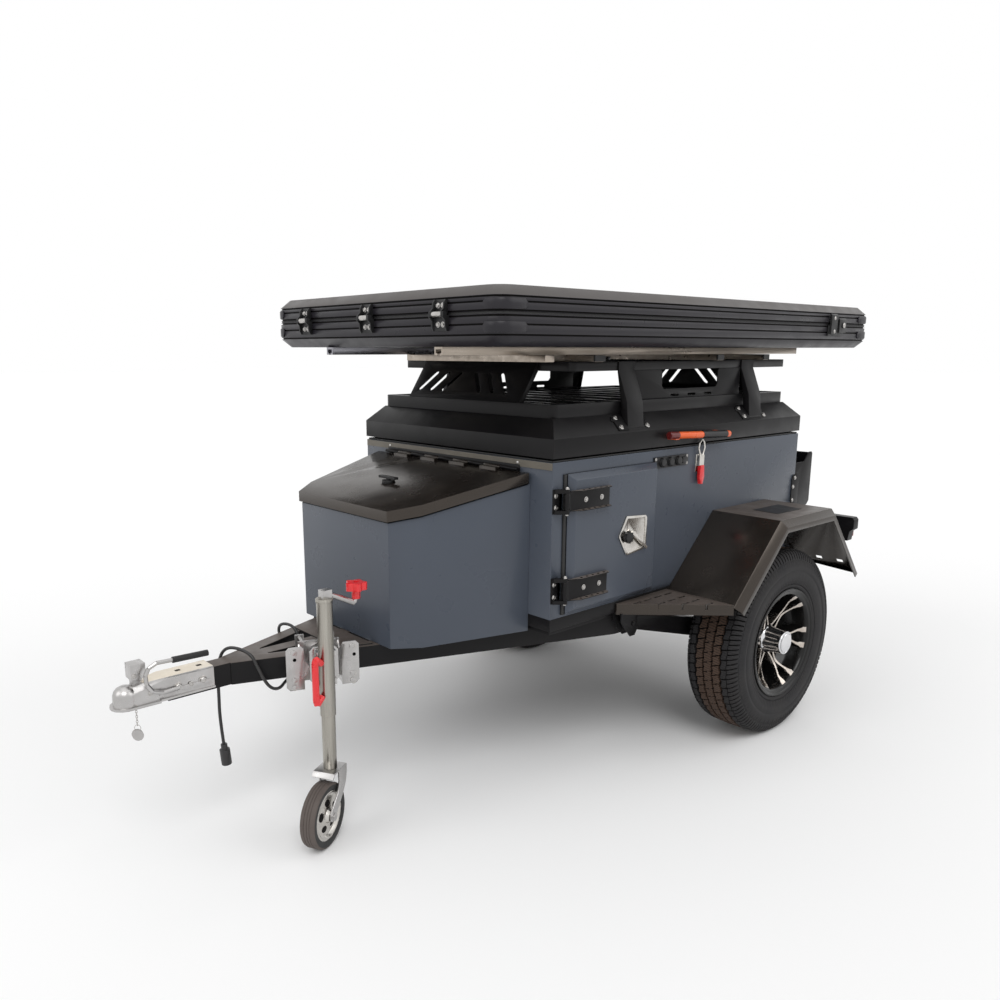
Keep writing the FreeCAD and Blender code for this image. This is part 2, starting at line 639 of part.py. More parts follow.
# Fenders: folded sheet over the wheel with a bevelled outer lip
def offset_path(path, d):
    """Open path in XZ moved inward (towards the wheel) by d, mitred."""
    out = []
    n = len(path)
    for i in range(n):
        dirs = []
        if i > 0:
            dirs.append((path[i][0] - path[i - 1][0], path[i][1] - path[i - 1][1]))
        if i < n - 1:
            dirs.append((path[i + 1][0] - path[i][0], path[i + 1][1] - path[i][1]))
        normals = []
        for dx, dz in dirs:
            length = math.hypot(dx, dz)
            normals.append((dz / length, -dx / length))
        nx = sum(a for a, b in normals) / len(normals)
        nz = sum(b for a, b in normals) / len(normals)
        k = nx * nx + nz * nz
        out.append((path[i][0] - d * nx / k, path[i][1] - d * nz / k))
    return out


def band(path, d, y):
    pts = list(path) + list(reversed(offset_path(path, d)))
    return Part.makePolygon([V(x, y, z) for x, z in pts] + [V(pts[0][0], y, pts[0][1])])


low_path = offset_path(fen_path, bevel)
fender = fuse([
    Part.Face(band(fen_path, fen_t, body_half)).extrude(V(0, fen_y - body_half, 0)),
    Part.makeLoft([band(fen_path, fen_t, fen_y), band(low_path, fen_t, fen_y + bevel)], True, True),
    Part.Face(band(low_path, 20.0, fen_y + bevel - 4)).extrude(V(0, 4, 0))])
(rx0, rz0), (rx1, rz1) = fen_path[2], fen_path[3]
for y in (560, 650, 740):
    k = 0.9
    cx, cz = rx0 + k * (rx1 - rx0), rz0 + k * (rz1 - rz0)
    fender = fender.cut(box(cx - 14, cx + 14, y - 13, y + 13, cz - 6, cz + 6))
save("fenders", pair(fender))

# Step: slotted tread plate from the sill to the fender's front corner, folded edge
front_low = fen_path[0]
tread_pts = [(step_x, body_half), (step_x, body_half + 8), (front_low[0] - 2, fen_y),
             (front_low[0] - 2, body_half)]
inner_pts = [(step_x - 14, body_half - 5), (step_x - 14, body_half), (front_low[0] - 10, fen_y - 10),
             (front_low[0] - 10, body_half - 5)]
step = prism_xy(tread_pts, step_z - step_h, step_z).cut(prism_xy(inner_pts, step_z - step_h - 1, step_z - 4))
step = step.cut(prism_xz([(-640, step_z - 10), (-612, step_z + 18), (-640, step_z + 46)], 400, 900))
slots = []
for row in range(4):
    y = body_half + 40 + 58 * row
    for x in (-600, -540, -480, -420):
        if y < body_half + 8 + (step_x - x) * (fen_y - body_half - 8) / (step_x - front_low[0]) - 30:
            slots.append(box(x, x + 42, y, y + 9, step_z - 20, step_z + 5))
step = step.cut(Part.makeCompound(slots)).cut(hanger).cut(fender)
save("steps", pair(step))

# Rear bumper bar with its lamps
bumper = box(-1600, -body_len, -600, 600, 700, 800).cut(box(-1596, -body_len - 1, -596, 596, 690, 796))
ends = prism_yz([(600, 800), (752, 800), (760, 790), (760, 752), (744, 740), (738, 700), (600, 700)],
                -1600, -1560)
save("rear_bumper", fuse([bumper, ends, mirrored(ends)]))
lamp = box(-1606, -1600, 618, 742, 716, 788)
save("tail_lamps", pair(lamp))

# Holder box at the rear near corner with its upright cylinder
hold_y0, hold_y1 = 392.0, 500.0
holder = prism_xz([(-body_len, 812), (-1650, 812), (-1668, 830), (-1668, 1040), (-1660, 1048), (-1640, 1048),
                   (-1600, 1008), (-body_len, 1008)], hold_y0, hold_y1)
holder = holder.cut(box(-1664, -body_len - 4, hold_y0 + 4, hold_y1 - 4, 816, 1100))
tab = prism_xz([(-1548, 960), (-1548, 834), (-1502, 834), (-1492, 850), (-1492, 944), (-1502, 960)],
               body_half, body_half + 4)
back_sheet = box(-body_len - 4, -body_len, hold_y0, body_half + 4, 812, 960)
wing = box(-1548, -body_len - 4, hold_y1 - 4, body_half + 4, 834, 960)
holder = fuse([holder, back_sheet, wing, tab])
save("can_holder", holder)
bottle_x, bottle_y = -1588.0, 446.0
bottle = fuse([rod(44, (bottle_x, bottle_y, 816), (bottle_x, bottle_y, 960), 20),
               rod(12, (bottle_x, bottle_y, 960), (bottle_x, bottle_y, 1052)),
               rod(16, (bottle_x, bottle_y, 1052), (bottle_x, bottle_y, 1064))])
save("gas_bottle", bottle)

# Socket panel, lid handle and pull toggle on the near side
panel = prism_xz([(-514, 1112), (-710, 1112), (-716, 1106), (-716, 1078), (-710, 1072), (-520, 1072),
                  (-514, 1078)], body_half, body_half + 6)
rings = [rod(16, (x, body_half + 6, 1092), (x, body_half + 14, 1092), 16) for x in (-556, -603, -650)]
save("socket_panel", fuse([panel] + rings + [box(-700, -676, body_half + 6, body_half + 11, 1080, 1104)]))
h_y = body_half + lid_over
handle = fuse([rod(12, (-552, h_y + 34, 1190), (-925, h_y + 34, 1174)),
               box(-612, -590, h_y, h_y + 34, 1172, 1194), box(-888, -866, h_y, h_y + 34, 1166, 1188)])
save("lid_handle", handle)
hook_pts = [(-789, 1160), (-775, 1148), (-770, 1128), (-782, 1100)]
hook = []
for (xa, za), (xb, zb) in zip(hook_pts, hook_pts[1:]):
    hook.append(rod(3.5, (xa, body_half + 12, za), (xb, body_half + 12, zb), 8))
    hook.append(rod(3.5, (-1578 - xa, body_half + 12, za), (-1578 - xb, body_half + 12, zb), 8))
toggle = fuse(hook + [box(-808, -770, body_half, body_half + 3, 1040, 1104),
                      box(-804, -774, body_half + 3, body_half + 16, 1062, 1102),
                      prism_xz([(-800, 1064), (-778, 1064), (-774, 1020), (-782, 994), (-796, 994),
                                (-804, 1020)], body_half + 8, body_half + 20)])
save("toggle_latch", toggle)

# Coupler: pressed steel body lofted from the ball housing back to a ribbed channel round the nose tube
def coupler_section(x, half, z0, z1, c):
    """Closed outline at x with its upper corners cut by c."""
    return Part.makePolygon([V(x, -half, z0), V(x, half, z0), V(x, half, z1 - c), V(x, half - c, z1),
                             V(x, c - half, z1), V(x, -half, z1 - c), V(x, -half, z0)])


ball = (1195.0, 0.0, 527.0)
tail = Part.makeLoft([coupler_section(945, 36, arm_z0 + 12, arm_z1 + 5.3, 4),
                      coupler_section(1092, 36, arm_z0 + 12, arm_z1 + 5.3, 4)], True, True)
neck_a = Part.makeLoft([coupler_section(1092, 36, arm_z0 + 12, arm_z1 + 5.3, 4),
                        coupler_section(1150, 34, 505, 563, 14)], True, True)
neck_b = Part.makeLoft([coupler_section(1150, 34, 505, 563, 14), coupler_section(1195, 30, 505, 552, 16)],
                       True, True)
dome = facet_ring([(0.01, 505 - ball[2]), (34, 505 - ball[2]), (34, 8), (31, 18), (24, 27), (13, 33),
                   (0.01, 35)], 0, 0, 0, 16)
dome.rotate(V(0, 0, 0), V(1, 0, 0), 90)
dome.translate(V(*ball))
lip = rod(43, (ball[0], 0, 499), (ball[0], 0, 506), 16).fuse(
    prism_xy([(1110, -44), (ball[0], -43), (ball[0], 43), (1110, 44)], 499, 506)).fuse(
    prism_xy([(945, -42), (1110, -44), (1110, 44), (945, 42)], 503, 509))
ribs = [box(960, 1112, a, b, 519, 533) for a, b in ((34, 40), (-40, -34))]
coupler = fuse([tail, neck_a, neck_b, dome, lip] + ribs)
coupler = coupler.cut(box(900, nose_x + 1, -nose_half - 0.3, nose_half + 0.3, 0, arm_z1 + 0.3))
coupler = coupler.cut(prism_xy([(nose_x, -30), (1150, -28), (1150, 28), (nose_x, 30)], 490, 545))
for x in (975.0, 1040.0):
    coupler = coupler.cut(box(x - 8, x + 8, -7, 7, arm_z1 - 5, arm_z1 + 20))
hollow = facet_ring([(0.01, -1), (25.45, -1), (25.45, 4), (22.5, 13), (15, 21), (0.01, 25.5)], 0, 0, 0, 12)
hollow.rotate(V(0, 0, 0), V(1, 0, 0), 90)
hollow.translate(V(*ball))
coupler = coupler.cut(hollow)
coupler = coupler.cut(cyl(25.5, (ball[0], 0, 480), ball))
save("coupler", coupler)
lock_block = fuse([box(1140, 1182, -21, 21, 578, 622),
                   box(1148, 1176, -13, 13, 550, 578)]).cut(neck_b).cut(dome)
lock_block = lock_block.cut(neck_a)
save("coupler_lock", lock_block)
loop = [(1056, 46, 533), (1104, 48, 531), (1134, 48, 541), (1150, 48, 566), (1152, 48, 592), (1142, 48, 612),
        (1118, 48, 623), (1068, 48, 621)]
bends = [rod(5.5, a, b, 8) for a, b in zip(loop, loop[1:])] + [rod(9, (1056, 36, 533), (1056, 46, 533), 8)]
handle_rod = fuse(bends).cut(coupler)
save("coupler_handle", handle_rod)
save("coupler_grip", rod(9, (1072, 48, 621), (966, 48, 618), 10).cut(handle_rod))

# Jockey wheel: mount on the near arm, swinging head with tube and crank, castor fork, wheel
arm_ang = -math.degrees(math.atan(arm_slope))
arm_face_y = arm_outer(jock_x)


def along_arm(shape):
    """From a local frame (x along the arm, y outward from its face) to the trailer."""
    s = shape.copy()
    s.rotate(V(0, 0, 0), V(0, 0, 1), arm_ang)
    s.translate(V(jock_x, arm_face_y, 0))
    return s


stand = (jock_y - arm_face_y) * arm_cos
head_x = (jock_y - arm_face_y) * math.sin(math.radians(arm_ang))
flange_y = 62.0


def clamp_half(s):
    """One side of the clamp: channel wall with a saddle top, flange with rounded corners and its bolts."""
    x0, x1, x2 = head_x + s * 58, head_x + s * 64, head_x + s * 112
    side_wall = prism_yz([(0, 478), (flange_y + 5, 478), (flange_y + 5, 606), (flange_y - 16, 588),
                          (30, 578), (14, 588), (0, 606)], min(x0, x1), max(x0, x1))
    pts = [(x0, 474), (x2 - s * 10, 474), (x2, 484), (x2, 600), (x2 - s * 10, 610), (x1, 610), (x0, 600)]
    flange = prism_xz(pts, flange_y, flange_y + 5)
    screws = [rod(7, (head_x + s * 90, flange_y - 4, z), (head_x + s * 90, flange_y + 9, z), 6)
              for z in (595, 507, 485)]
    clamp_rods = [rod(5, (head_x + s * 48, -64, z), (head_x + s * 48, 8, z), 8) for z in (484, 600)]
    back = box(head_x + s * 34, head_x + s * 62, -60, -54, 476, 608)
    return [side_wall, flange, back] + screws + clamp_rods


mount = fuse([box(head_x - 64, head_x + 64, 0, 6, 478, 606)] + clamp_half(-1) + clamp_half(1) +
             [cyl(14, (head_x, 3, jock_pivot_z), (head_x, 76, jock_pivot_z))])
save("jockey_mount", along_arm(mount).cut(drawbar_plate))
boss = rod(42, (head_x, 6.3, jock_pivot_z), (head_x, 80, jock_pivot_z), 24)
clamp_y = stand - jock_r
head = fuse([boss, prism_xz([(head_x - 44, 505), (head_x - 30, 490), (head_x + 30, 490), (head_x + 44, 505),
                             (head_x + 44, 596), (head_x + 30, 610), (head_x - 30, 610),
                             (head_x - 44, 596)], 78, 84),
             box(head_x - 30, head_x + 30, 84, stand + 2, 586, 604),
             box(head_x - 30, head_x + 30, 84, stand + 2, 498, 516)])
head = head.cut(cyl(14.05, (head_x, 0, jock_pivot_z), (head_x, 90, jock_pivot_z)))
head = head.cut(cyl(jock_r + 0.05, (head_x, stand, 400), (head_x, stand, 700)))
save("jockey_head", along_arm(head))
grip_x, grip_y = head_x + 37, stand + 29
near = (head_x + 19, stand + 15)
pull_path = [(near[0], near[1], 574), (grip_x, grip_y, 592), (grip_x + 3, grip_y, 580),
             (grip_x + 3, grip_y, 464), (grip_x, grip_y, 452), (near[0], near[1], 470)]
pull = fuse([rod(10, a, b, 10) for a, b in zip(pull_path, pull_path[1:])])
pull = pull.cut(cyl(jock_r, (head_x, stand, 400), (head_x, stand, 700)))
save("jockey_pull", along_arm(pull))
outer_tube = cyl(jock_r, (jock_x, jock_y, jock_low), (jock_x, jock_y, jock_top)).cut(
    cyl(jock_inner_r + 0.3, (jock_x, jock_y, jock_low - 1), (jock_x, jock_y, jock_top - 20)))
cap = rod(jock_r + 2, (jock_x, jock_y, jock_top - 6), (jock_x, jock_y, jock_top + 4), 20).cut(
    cyl(jock_r - 3, (jock_x, jock_y, jock_top - 10), (jock_x, jock_y, jock_top - 4)))
save("jockey_tube", fuse([outer_tube, cap]))
arm_end = (576.0, jock_y, 736.0)
crank = fuse([box(jock_x - 20, jock_x + 12, jock_y - 13, jock_y + 13, jock_top + 4, jock_top + 30),
              rod(8, (jock_x - 10, jock_y, jock_top + 18), arm_end, 10),
              rod(8, arm_end, (arm_end[0] - 7, jock_y, 752), 10)])
crank = crank.cut(cap)
save("jockey_crank", crank)
knob_x = arm_end[0] - 8
star = []
for i in range(30):
    a = math.radians(12 * i)
    r = 29 + 5 * math.cos(5 * a)
    star.append((knob_x + r * math.cos(a), jock_y + r * math.sin(a)))
knob = fuse([prism_xy(star, 775, 799), rod(13, (knob_x, jock_y, 748), (knob_x, jock_y, 778), 12)])
knob = knob.cut(crank).cut(rod(9, (knob_x, jock_y, 786), (knob_x, jock_y, 802), 8))
save("jockey_knob", knob)

inner_tube = cyl(jock_inner_r, (jock_x, jock_y, crown_z), (jock_x, jock_y, jock_inner_top))
save("jockey_inner_tube", inner_tube)
fork_z = crown_z - 0.3


def castored(shape):
    """Turn the castor's pieces about the tube's axis into their parked heading."""
    s = shape.copy()
    s.rotate(V(jock_x, jock_y, 0), V(0, 0, 1), castor_turn)
    return s


ax_x = jock_x + castor_trail
hw = jock_wheel_w / 2
legs = []
for s in (-1, 1):
    y0, y1 = sorted((jock_y + s * (hw + 6), jock_y + s * (hw + 11)))
    legs.append(prism_xz([(jock_x - 40, fork_z), (jock_x + 10, fork_z), (jock_x + 8, 192),
                          (jock_x + 18, 160), (ax_x + 15, 112), (ax_x + 15, 90), (ax_x + 4, 84),
                          (ax_x - 12, 88), (jock_x + 10, 122), (jock_x - 16, 150), (jock_x - 33, 176),
                          (jock_x - 40, 204)], y0, y1))
crown = prism_xz([(jock_x - 40, fork_z - 6), (jock_x - 40, fork_z), (jock_x + 40, fork_z),
                  (jock_x + 52, fork_z - 14), (jock_x + 47, fork_z - 18), (jock_x + 37, fork_z - 6)],
                 jock_y - hw - 11, jock_y + hw + 11)
axle = cyl(7, (ax_x, jock_y - hw - 13, jock_wheel_r), (ax_x, jock_y + hw + 13, jock_wheel_r))
nuts = [rod(11, (ax_x, jock_y - s * (hw + 10), jock_wheel_r),
            (ax_x, jock_y - s * (hw + 19), jock_wheel_r), 6) for s in (-1, 1)]
save("jockey_fork", castored(fuse(legs + nuts + [crown, axle])))
jw = facet_ring([(8, -hw - 5), (18, -hw - 5), (22, -20), (60, -14), (70, -hw + 3), (76, -hw + 3),
                 (76, hw - 3), (70, hw - 3), (60, 14), (22, 20), (18, hw + 5), (8, hw + 5)],
                ax_x, jock_y, jock_wheel_r, jock_sides)
jw = jw.fuse(rod(9, (ax_x, jock_y - hw - 5, jock_wheel_r), (ax_x, jock_y + hw + 5, jock_wheel_r), 12))
jw = jw.cut(cyl(7.05, (ax_x, 0, jock_wheel_r), (ax_x, 500, jock_wheel_r)))
save("jockey_rim", castored(jw))
jt = facet_ring([(76, -hw + 3), (84, -hw), (94, -hw), (100, -hw + 8), (100, hw - 8), (94, hw), (84, hw),
                 (76, hw - 3)], ax_x, jock_y, jock_wheel_r, jock_sides)
save("jockey_tyre", castored(jt))

# Road wheels: tyre, alloy rim with paired spokes, hub
hwid = tyre_w / 2
tyre = facet_ring([(rim_r, -hwid + 18), (lip_r, -hwid + 15), (lip_r + 2, -hwid + 8), (262, -hwid + 2),
                   (300, -hwid), (335, -hwid + 8), (356, -hwid + 20), (tyre_r, -hwid + 34),
                   (tyre_r, hwid - 34), (356, hwid - 20), (335, hwid - 8), (300, hwid), (262, hwid - 2),
                   (lip_r + 2, hwid - 8), (lip_r, hwid - 15), (rim_r, hwid - 18)],
                  axle_x, tyre_y, tyre_r, tyre_sides)
both("tyre", tyre)
barrel = facet_ring([(rim_r, -hwid + 18), (rim_r, hwid - 18), (lip_r, hwid - 15), (lip_r, hwid - 9),
                     (rim_r - 4, hwid - 9), (rim_r - 12, hwid - 24), (rim_r - 20, 30),
                     (rim_r - 20, -hwid + 24), (lip_r - 14, -hwid + 9), (lip_r, -hwid + 9),
                     (lip_r, -hwid + 15)], axle_x, tyre_y, tyre_r, tyre_sides)
hub_y = tyre_y + 10
hub = fuse([rod(52, (axle_x, hub_y - 25, tyre_r), (axle_x, hub_y + 70, tyre_r), 16),
            rod(46, (axle_x, hub_y + 70, tyre_r), (axle_x, hub_y + 102, tyre_r), 16),
            rod(38, (axle_x, hub_y + 102, tyre_r), (axle_x, hub_y + 109, tyre_r), 16)])
# Each spoke is a pair of bars rising from the hub to the rim's outer edge
arms = []
bar = face([(axle_x + r, tyre_y + y, tyre_r - spoke_w / 2) for r, y in (
    (44, 2), (44, 30), (112, 40), (160, 66), (184, 92), (194, 88), (194, 72), (176, 56), (124, 20))])
bar = bar.extrude(V(0, 0, spoke_w))
for i in range(spokes):
    for d in (-spoke_split, spoke_split):
        turned = bar.copy()
        turned.rotate(V(axle_x, tyre_y, tyre_r), V(0, 1, 0), 360.0 / spokes * i + d)
        arms.append(turned)
hub_bore = cyl(22.1, (axle_x, 400, tyre_r), (axle_x, 642, tyre_r))
drum = rod(110, (axle_x, arm_y1 + 12, tyre_r), (axle_x, hub_y - 20, tyre_r), 16)
rim = fuse([barrel, hub] + arms + [drum]).cut(hub_bore)
both("wheel_rim", rim)

# Trailer cable: wound once round the drawbar, then hanging with its plug
def eased(points, radius):
    """The points with each inner one eased to three on an arc of the given radius."""
    pts = [V(*p) for p in points]
    out = [pts[0]]
    for i in range(1, len(pts) - 1):
        a, b, c = pts[i - 1], pts[i], pts[i + 1]
        u, v = (a - b).normalize(), (c - b).normalize()
        ang = u.getAngle(v)
        cut_len = min(radius / math.tan(ang / 2), 0.45 * (a - b).Length, 0.45 * (c - b).Length)
        r = cut_len * math.tan(ang / 2)
        mid_dir = (u + v).normalize()
        out += [b + u * cut_len, b + mid_dir * (r / math.sin(ang / 2) - r), b + v * cut_len]
    return out + [pts[-1]]


def flat_pipe(points, radius, sides):
    """Round lead as flats along a line of points, mitred at each of them."""
    ways = [(b - a).normalize() for a, b in zip(points, points[1:])]
    across = ways[0].cross(V(1, 0.2, 0)).normalize()
    up = ways[0].cross(across)
    r = radius / math.cos(math.pi / sides)
    ring_pts = [points[0] + across * (r * math.cos(t)) + up * (r * math.sin(t))
                for t in (2 * math.pi * i / sides for i in range(sides))]
    rings = [ring_pts]
    for i in range(1, len(points)):
        way = ways[i - 1]
        plane = way + ways[i] if i < len(ways) else way
        ring_pts = [q + way * ((points[i] - q).dot(plane) / way.dot(plane)) for q in ring_pts]
        rings.append(ring_pts)
    faces = [Part.Face(Part.makePolygon(rings[k] + [rings[k][0]])) for k in (0, -1)]
    for a, b in zip(rings, rings[1:]):
        for i in range(sides):
            m = (i + 1) % sides
            faces.append(Part.Face(Part.makePolygon([a[i], a[m], b[m], b[i], a[i]])))
    solid = Part.Solid(Part.makeShell(faces))
    if solid.Volume < 0:
        solid.reverse()
    return solid


cab_r = 5.0
cable_pts = [(430, -235, arm_z1), (430, -235, 518), (520, -196, 498), (618, -162, 532), (626, -146, 590),
             (600, -86, 590), (596, -60, 535), (625, -18, 468), (700, 25, 458), (762, 88, 460),
             (805, 102, 484), (826, 82, 545), (838, 60, 593), (868, -46, 593), (893, -55, 530),
             (897, -46, 440), (901, -42, 364), (893, -42, 275)]
save("trailer_cable", flat_pipe(eased(cable_pts, 40), cab_r, 8))
plug_axis = (V(*cable_pts[-1]) - V(*cable_pts[-2])).normalize()
plug_start = V(*cable_pts[-1])
neck = rod(10, plug_start, plug_start + plug_axis * 20, 12)
plug_body = rod(16, plug_start + plug_axis * 18, plug_start + plug_axis * 70, 16)
save("cable_plug", neck.fuse(plug_body))
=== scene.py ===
import math

import bpy
import numpy as np
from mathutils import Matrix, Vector


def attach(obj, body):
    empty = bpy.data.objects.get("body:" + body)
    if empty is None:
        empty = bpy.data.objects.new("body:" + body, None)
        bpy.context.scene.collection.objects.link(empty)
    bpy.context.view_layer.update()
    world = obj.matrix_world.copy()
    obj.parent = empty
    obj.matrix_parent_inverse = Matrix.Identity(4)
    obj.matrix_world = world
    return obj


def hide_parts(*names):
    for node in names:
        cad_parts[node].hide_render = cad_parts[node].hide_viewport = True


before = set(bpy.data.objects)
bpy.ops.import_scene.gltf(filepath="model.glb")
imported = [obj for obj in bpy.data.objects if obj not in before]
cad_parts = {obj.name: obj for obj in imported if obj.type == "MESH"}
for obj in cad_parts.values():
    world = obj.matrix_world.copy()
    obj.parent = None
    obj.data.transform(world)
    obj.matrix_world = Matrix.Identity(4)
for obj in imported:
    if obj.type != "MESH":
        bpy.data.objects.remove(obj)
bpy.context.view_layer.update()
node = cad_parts

# Camera: stands ahead of the trailer on its left, at eye height. The body's front wall is at x = wall_x, and
# the places that this file gives in mm are measured along x from that wall.
wall_x = 0.3365
eye = Vector((wall_x + 1.979, 2.349, 1.482))
yaw, pitch = 0.852, 0.213
look = Vector((-math.cos(yaw) * math.cos(pitch), -math.sin(yaw) * math.cos(pitch), -math.sin(pitch)))
lens = bpy.data.cameras.new("camera")
lens.sensor_width = 36.0
lens.lens = 0.8646 * lens.sensor_width
lens.shift_x = 0.0349
lens.shift_y = 0.0371
camera = bpy.data.objects.new("camera", lens)
camera.location = eye
camera.rotation_euler = look.to_track_quat("-Z", "Y").to_euler()
bpy.context.scene.collection.objects.link(camera)
bpy.context.scene.camera = camera


# Trailer cable: a black rubber seven-core lead with its plug. It comes out under the tongue box, is wound
# loosely over the far arm, under the near one and over the nose, and hangs free on the far side.
def between(tree, first, last, share):
    """A colour mixed from first to last by share; each of the three is a value or a socket."""
    mix = tree.nodes.new("ShaderNodeMix")
    mix.data_type = "RGBA"
    for socket, value in (("A", first), ("B", last), ("Factor", share)):
        if isinstance(value, tuple):
            mix.inputs[socket].default_value = value
        else:
            tree.links.new(value, mix.inputs[socket])
    return mix.outputs["Result"]


def finish_of(name, colour, rough, metal=0.0, coat=0.0, mottle=0.0, mottle_size=8.0, second=None,
              rough_swing=0.0, gloss=0.5, bump=0.0, bump_size=600.0, stretch=(1, 1, 1), tint=(1, 1, 1)):
    """A metal, paint, rubber or plastic on Object coordinates.
    Colour goes from colour to second by a cloud of mottle_size waves a metre, as far as mottle says; roughness
    swings by a cloud four times as fine; bump is a noise of bump_size waves a metre. stretch scales all three
    along the axes, and tint colours the gloss seen straight on."""
    m = bpy.data.materials.new(name)
    m.use_nodes = True
    t = m.node_tree
    p = t.nodes["Principled BSDF"]
    for socket, value in (("Base Color", (*colour, 1)), ("Metallic", metal), ("Roughness", rough),
                          ("Coat Weight", coat), ("Coat Roughness", 0.08), ("Specular IOR Level", gloss),
                          ("Specular Tint", (*tint, 1))):
        p.inputs[socket].default_value = value
    where = t.nodes.new("ShaderNodeTexCoord")
    scale = t.nodes.new("ShaderNodeMapping")
    scale.inputs["Scale"].default_value = stretch
    t.links.new(where.outputs["Object"], scale.inputs["Vector"])

    def noise(waves, detail, roughness=0.5):
        n = t.nodes.new("ShaderNodeTexNoise")
        for socket, value in (("Scale", waves), ("Detail", detail), ("Roughness", roughness)):
            n.inputs[socket].default_value = value
        t.links.new(scale.outputs["Vector"], n.inputs["Vector"])
        return n.outputs["Fac"]

    def spread(cloud, low, high, to_low, to_high):
        n = t.nodes.new("ShaderNodeMapRange")
        for socket, value in (("From Min", low), ("From Max", high), ("To Min", to_low), ("To Max", to_high)):
            n.inputs[socket].default_value = value
        t.links.new(cloud, n.inputs["Value"])
        return n.outputs["Result"]

    if mottle:
        share = spread(noise(mottle_size, 5.0, 0.6), 0.35, 0.68, 0.0, mottle)
        t.links.new(between(t, (*colour, 1), (*(second or colour), 1), share), p.inputs["Base Color"])
    if rough_swing:
        swung = spread(noise(mottle_size * 4, 6.0), 0.3, 0.7, max(rough - rough_swing, 0.02), rough + rough_swing)
        t.links.new(swung, p.inputs["Roughness"])
    if bump:
        relief = t.nodes.new("ShaderNodeBump")
        relief.inputs["Strength"].default_value = bump
        relief.inputs["Distance"].default_value = 0.0004
        t.links.new(noise(bump_size, 3.0), relief.inputs["Height"])
        t.links.new(relief.outputs["Normal"], p.inputs["Normal"])
    return m


def dress(name, material, edge=0.0012, others=(), part=None):
    """A CAD piece's finish and its edges: its mesh is welded, its flat faces joined, and edges over 30 degrees
    broken by a bevel of that width, as a folded sheet's or a casting's are. part takes the faces' middles, in mm
    from the body's front wall, and how far each faces up, and gives the number of each face's finish."""
    o = node[name]
    faces = o.data.polygons
    o.data.materials.clear()
    for finish in (material, *others):
        o.data.materials.append(finish)
    if others:
        middle, facing = np.empty((2, len(faces) * 3), np.float32)
        faces.foreach_get("center", middle)
        faces.foreach_get("normal", facing)
        middle = middle.reshape(-1, 3) * 1000 - (wall_x * 1000, 0, 0)
        faces.foreach_set("material_index", part(*middle.T, facing[2::3]).astype(np.int32))
    faces.foreach_set("use_smooth", np.ones(len(faces), bool))
    if edge:
        weld = o.modifiers.new("weld", "WELD")
        weld.merge_threshold = 0.00002
        flat = o.modifiers.new("flat", "DECIMATE")
        flat.decimate_type = "DISSOLVE"
        flat.angle_limit = math.radians(0.3)
        bevel = o.modifiers.new("edges", "BEVEL")
        bevel.width = edge
        bevel.segments = 2
        bevel.limit_method = "ANGLE"
        bevel.angle_limit = math.radians(30)
        bevel.use_clamp_overlap = True
        bevel.harden_normals = True


sheath = finish_of("cable sheath", (0.012, 0.012, 0.013), 0.42, bump=0.15, bump_size=900, rough_swing=0.08,
                   mottle=0.5, second=(0.03, 0.028, 0.026))
route_mm = [(430, -235, 563), (430, -235, 518), (520, -196, 498), (618, -162, 532), (626, -146, 590),
            (600, -86, 590), (596, -60, 535), (625, -18, 468), (700, 25, 458), (762, 88, 460),
            (805, 102, 484), (826, 82, 545), (838, 60, 593), (868, -46, 593), (893, -55, 530),
            (897, -46, 440), (901, -42, 364), (893, -42, 275)]
route = [(wall_x + x / 1000, y / 1000, z / 1000) for x, y, z in route_mm]
lead = bpy.data.curves.new("trailer_lead", "CURVE")
lead.dimensions = "3D"
lead.bevel_depth = 0.005
lead.bevel_resolution = 4
lead.resolution_u = 16
lead.use_fill_caps = True
run = lead.splines.new("NURBS")
run.points.add(len(route) - 1)
for point, xyz in zip(run.points, route):
    point.co = (*xyz, 1)
run.order_u = 3
run.use_endpoint_u = True
cable = bpy.data.objects.new("trailer_lead", lead)
bpy.context.scene.collection.objects.link(cable)
lead.materials.append(sheath)
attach(cable, "trailer")
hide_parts("trailer_cable")
dress("cable_plug", sheath, 0.0015)

# Drawbar, chassis, hangers and trailing arms: welded box section, powder coated black in one go, with the
# fine orange peel of such a coat, and on what faces up a warm brown-grey that is a painted reflection.
black_coat = finish_of("black coat", (0.0075, 0.0072, 0.0080), 0.36, gloss=0.16, mottle=0.6, mottle_size=3.5,
                       second=(0.012, 0.011, 0.011), rough_swing=0.07, bump=0.08, bump_size=420)
# A painted reflection: the warm brown-grey given to faces that face up.
painted_top_sheen = finish_of("painted top sheen", (0.105, 0.086, 0.075), 0.42, gloss=0.3, mottle=0.8, mottle_size=5,
                       second=(0.062, 0.050, 0.043), rough_swing=0.08, bump=0.1, bump_size=420)
for name in ("drawbar", "chassis", "trailing_arms"):
    dress(name, black_coat, 0.002, [painted_top_sheen], lambda x, y, z, up: up > 0.9)


